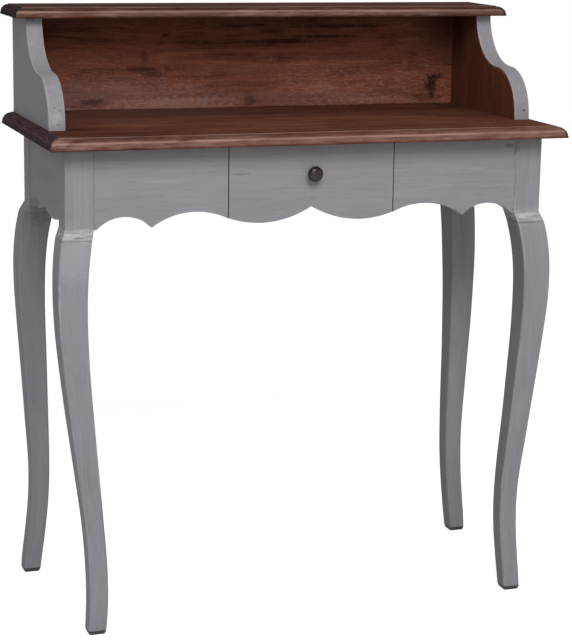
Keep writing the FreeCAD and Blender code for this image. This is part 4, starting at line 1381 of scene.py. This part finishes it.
def hang_lamp(scene, stage, name):
    """A square lamp turned towards the desk, at its turn to the right and its height from the front."""
    turn, height = getattr(stage, f"{name}_azimuth"), getattr(stage, f"{name}_elevation")
    lamp = bpy.data.lights.new(name, "AREA")
    lamp.energy = getattr(stage, name)
    lamp.shape = "SQUARE"
    lamp.size = getattr(stage, f"{name}_size")
    hung = bpy.data.objects.new(name, lamp)
    level = math.cos(height)
    towards = Vector((math.sin(turn) * level, -math.cos(turn) * level, math.sin(height)))
    hung.location = LAMP_AIM + towards * stage.lamp_distance
    hung.rotation_euler = towards.to_track_quat("Z", "Y").to_euler()
    scene.collection.objects.link(hung)


def set_camera(scene, stage):
    """The photograph's camera: its axes from yaw and pitch, leant by the roll."""
    yaw, pitch, roll = stage.yaw, stage.pitch, stage.roll
    ahead = Vector((-math.sin(yaw) * math.cos(pitch), math.cos(yaw) * math.cos(pitch), math.sin(pitch)))
    across = Vector((math.cos(yaw), math.sin(yaw), 0))
    up = across.cross(ahead)
    leant = across * math.cos(roll) + up * math.sin(roll)
    upright = up * math.cos(roll) - across * math.sin(roll)
    lens = bpy.data.cameras.new("camera")
    lens.sensor_width = 36.0
    lens.lens = lens.sensor_width * stage.focal
    camera = bpy.data.objects.new("camera", lens)
    turned = Matrix((leant, upright, -ahead)).transposed().to_4x4()
    camera.matrix_world = Matrix.Translation(stage.camera) @ turned
    scene.collection.objects.link(camera)
    scene.camera = camera


class DESK_OT_stage(bpy.types.Operator):
    """Pale floor, white surroundings, soft key and fill lights and the camera"""

    bl_idname = "desk.stage"
    bl_label = "Stage"

    def execute(self, context):
        scene, stage = context.scene, context.scene.desk_stage
        lay_floor(scene)
        light_room(scene, stage)
        hang_lamp(scene, stage, "key")
        hang_lamp(scene, stage, "fill")
        set_camera(scene, stage)
        scene.view_settings.view_transform = "Standard"
        return {"FINISHED"}


# Sidebar


OPERATORS = (
    DESK_OT_legs, DESK_OT_foot_pads, DESK_OT_aprons, DESK_OT_drawer_front, DESK_OT_knob, DESK_OT_top_boards,
    DESK_OT_brackets, DESK_OT_back_panel, DESK_OT_inside, DESK_OT_stage)
SETTINGS = {
    "desk_shape": DeskShape,
    "desk_paint": DeskPaint,
    "desk_wood": DeskWood,
    "desk_metal": DeskMetal,
    "desk_stage": DeskStage,
}


class DESK_PT_sidebar(bpy.types.Panel):
    """Sizes, colours and pieces of the desk"""

    bl_idname = "DESK_PT_sidebar"
    bl_label = "Painted writing desk"
    bl_space_type = "VIEW_3D"
    bl_region_type = "UI"
    bl_category = "Desk"

    def draw(self, context):
        for operator in OPERATORS:
            self.layout.operator(operator.bl_idname)
        for name, kind in SETTINGS.items():
            box = self.layout.box()
            for setting in kind.__annotations__:
                box.prop(getattr(context.scene, name), setting)


CLASSES = (*SETTINGS.values(), *OPERATORS, DESK_PT_sidebar)


def register():
    for kind in CLASSES:
        bpy.utils.register_class(kind)
    for name, kind in SETTINGS.items():
        setattr(bpy.types.Scene, name, bpy.props.PointerProperty(type=kind))


def unregister():
    for name in SETTINGS:
        delattr(bpy.types.Scene, name)
    for kind in reversed(CLASSES):
        bpy.utils.unregister_class(kind)


def main():
    register()
    bpy.ops.desk.legs()
    bpy.ops.desk.foot_pads()
    bpy.ops.desk.aprons()
    bpy.ops.desk.drawer_front()
    bpy.ops.desk.knob()
    bpy.ops.desk.top_boards()
    bpy.ops.desk.brackets()
    bpy.ops.desk.back_panel()
    bpy.ops.desk.inside()
    bpy.ops.desk.stage()


if __name__ == "__main__":
    main()
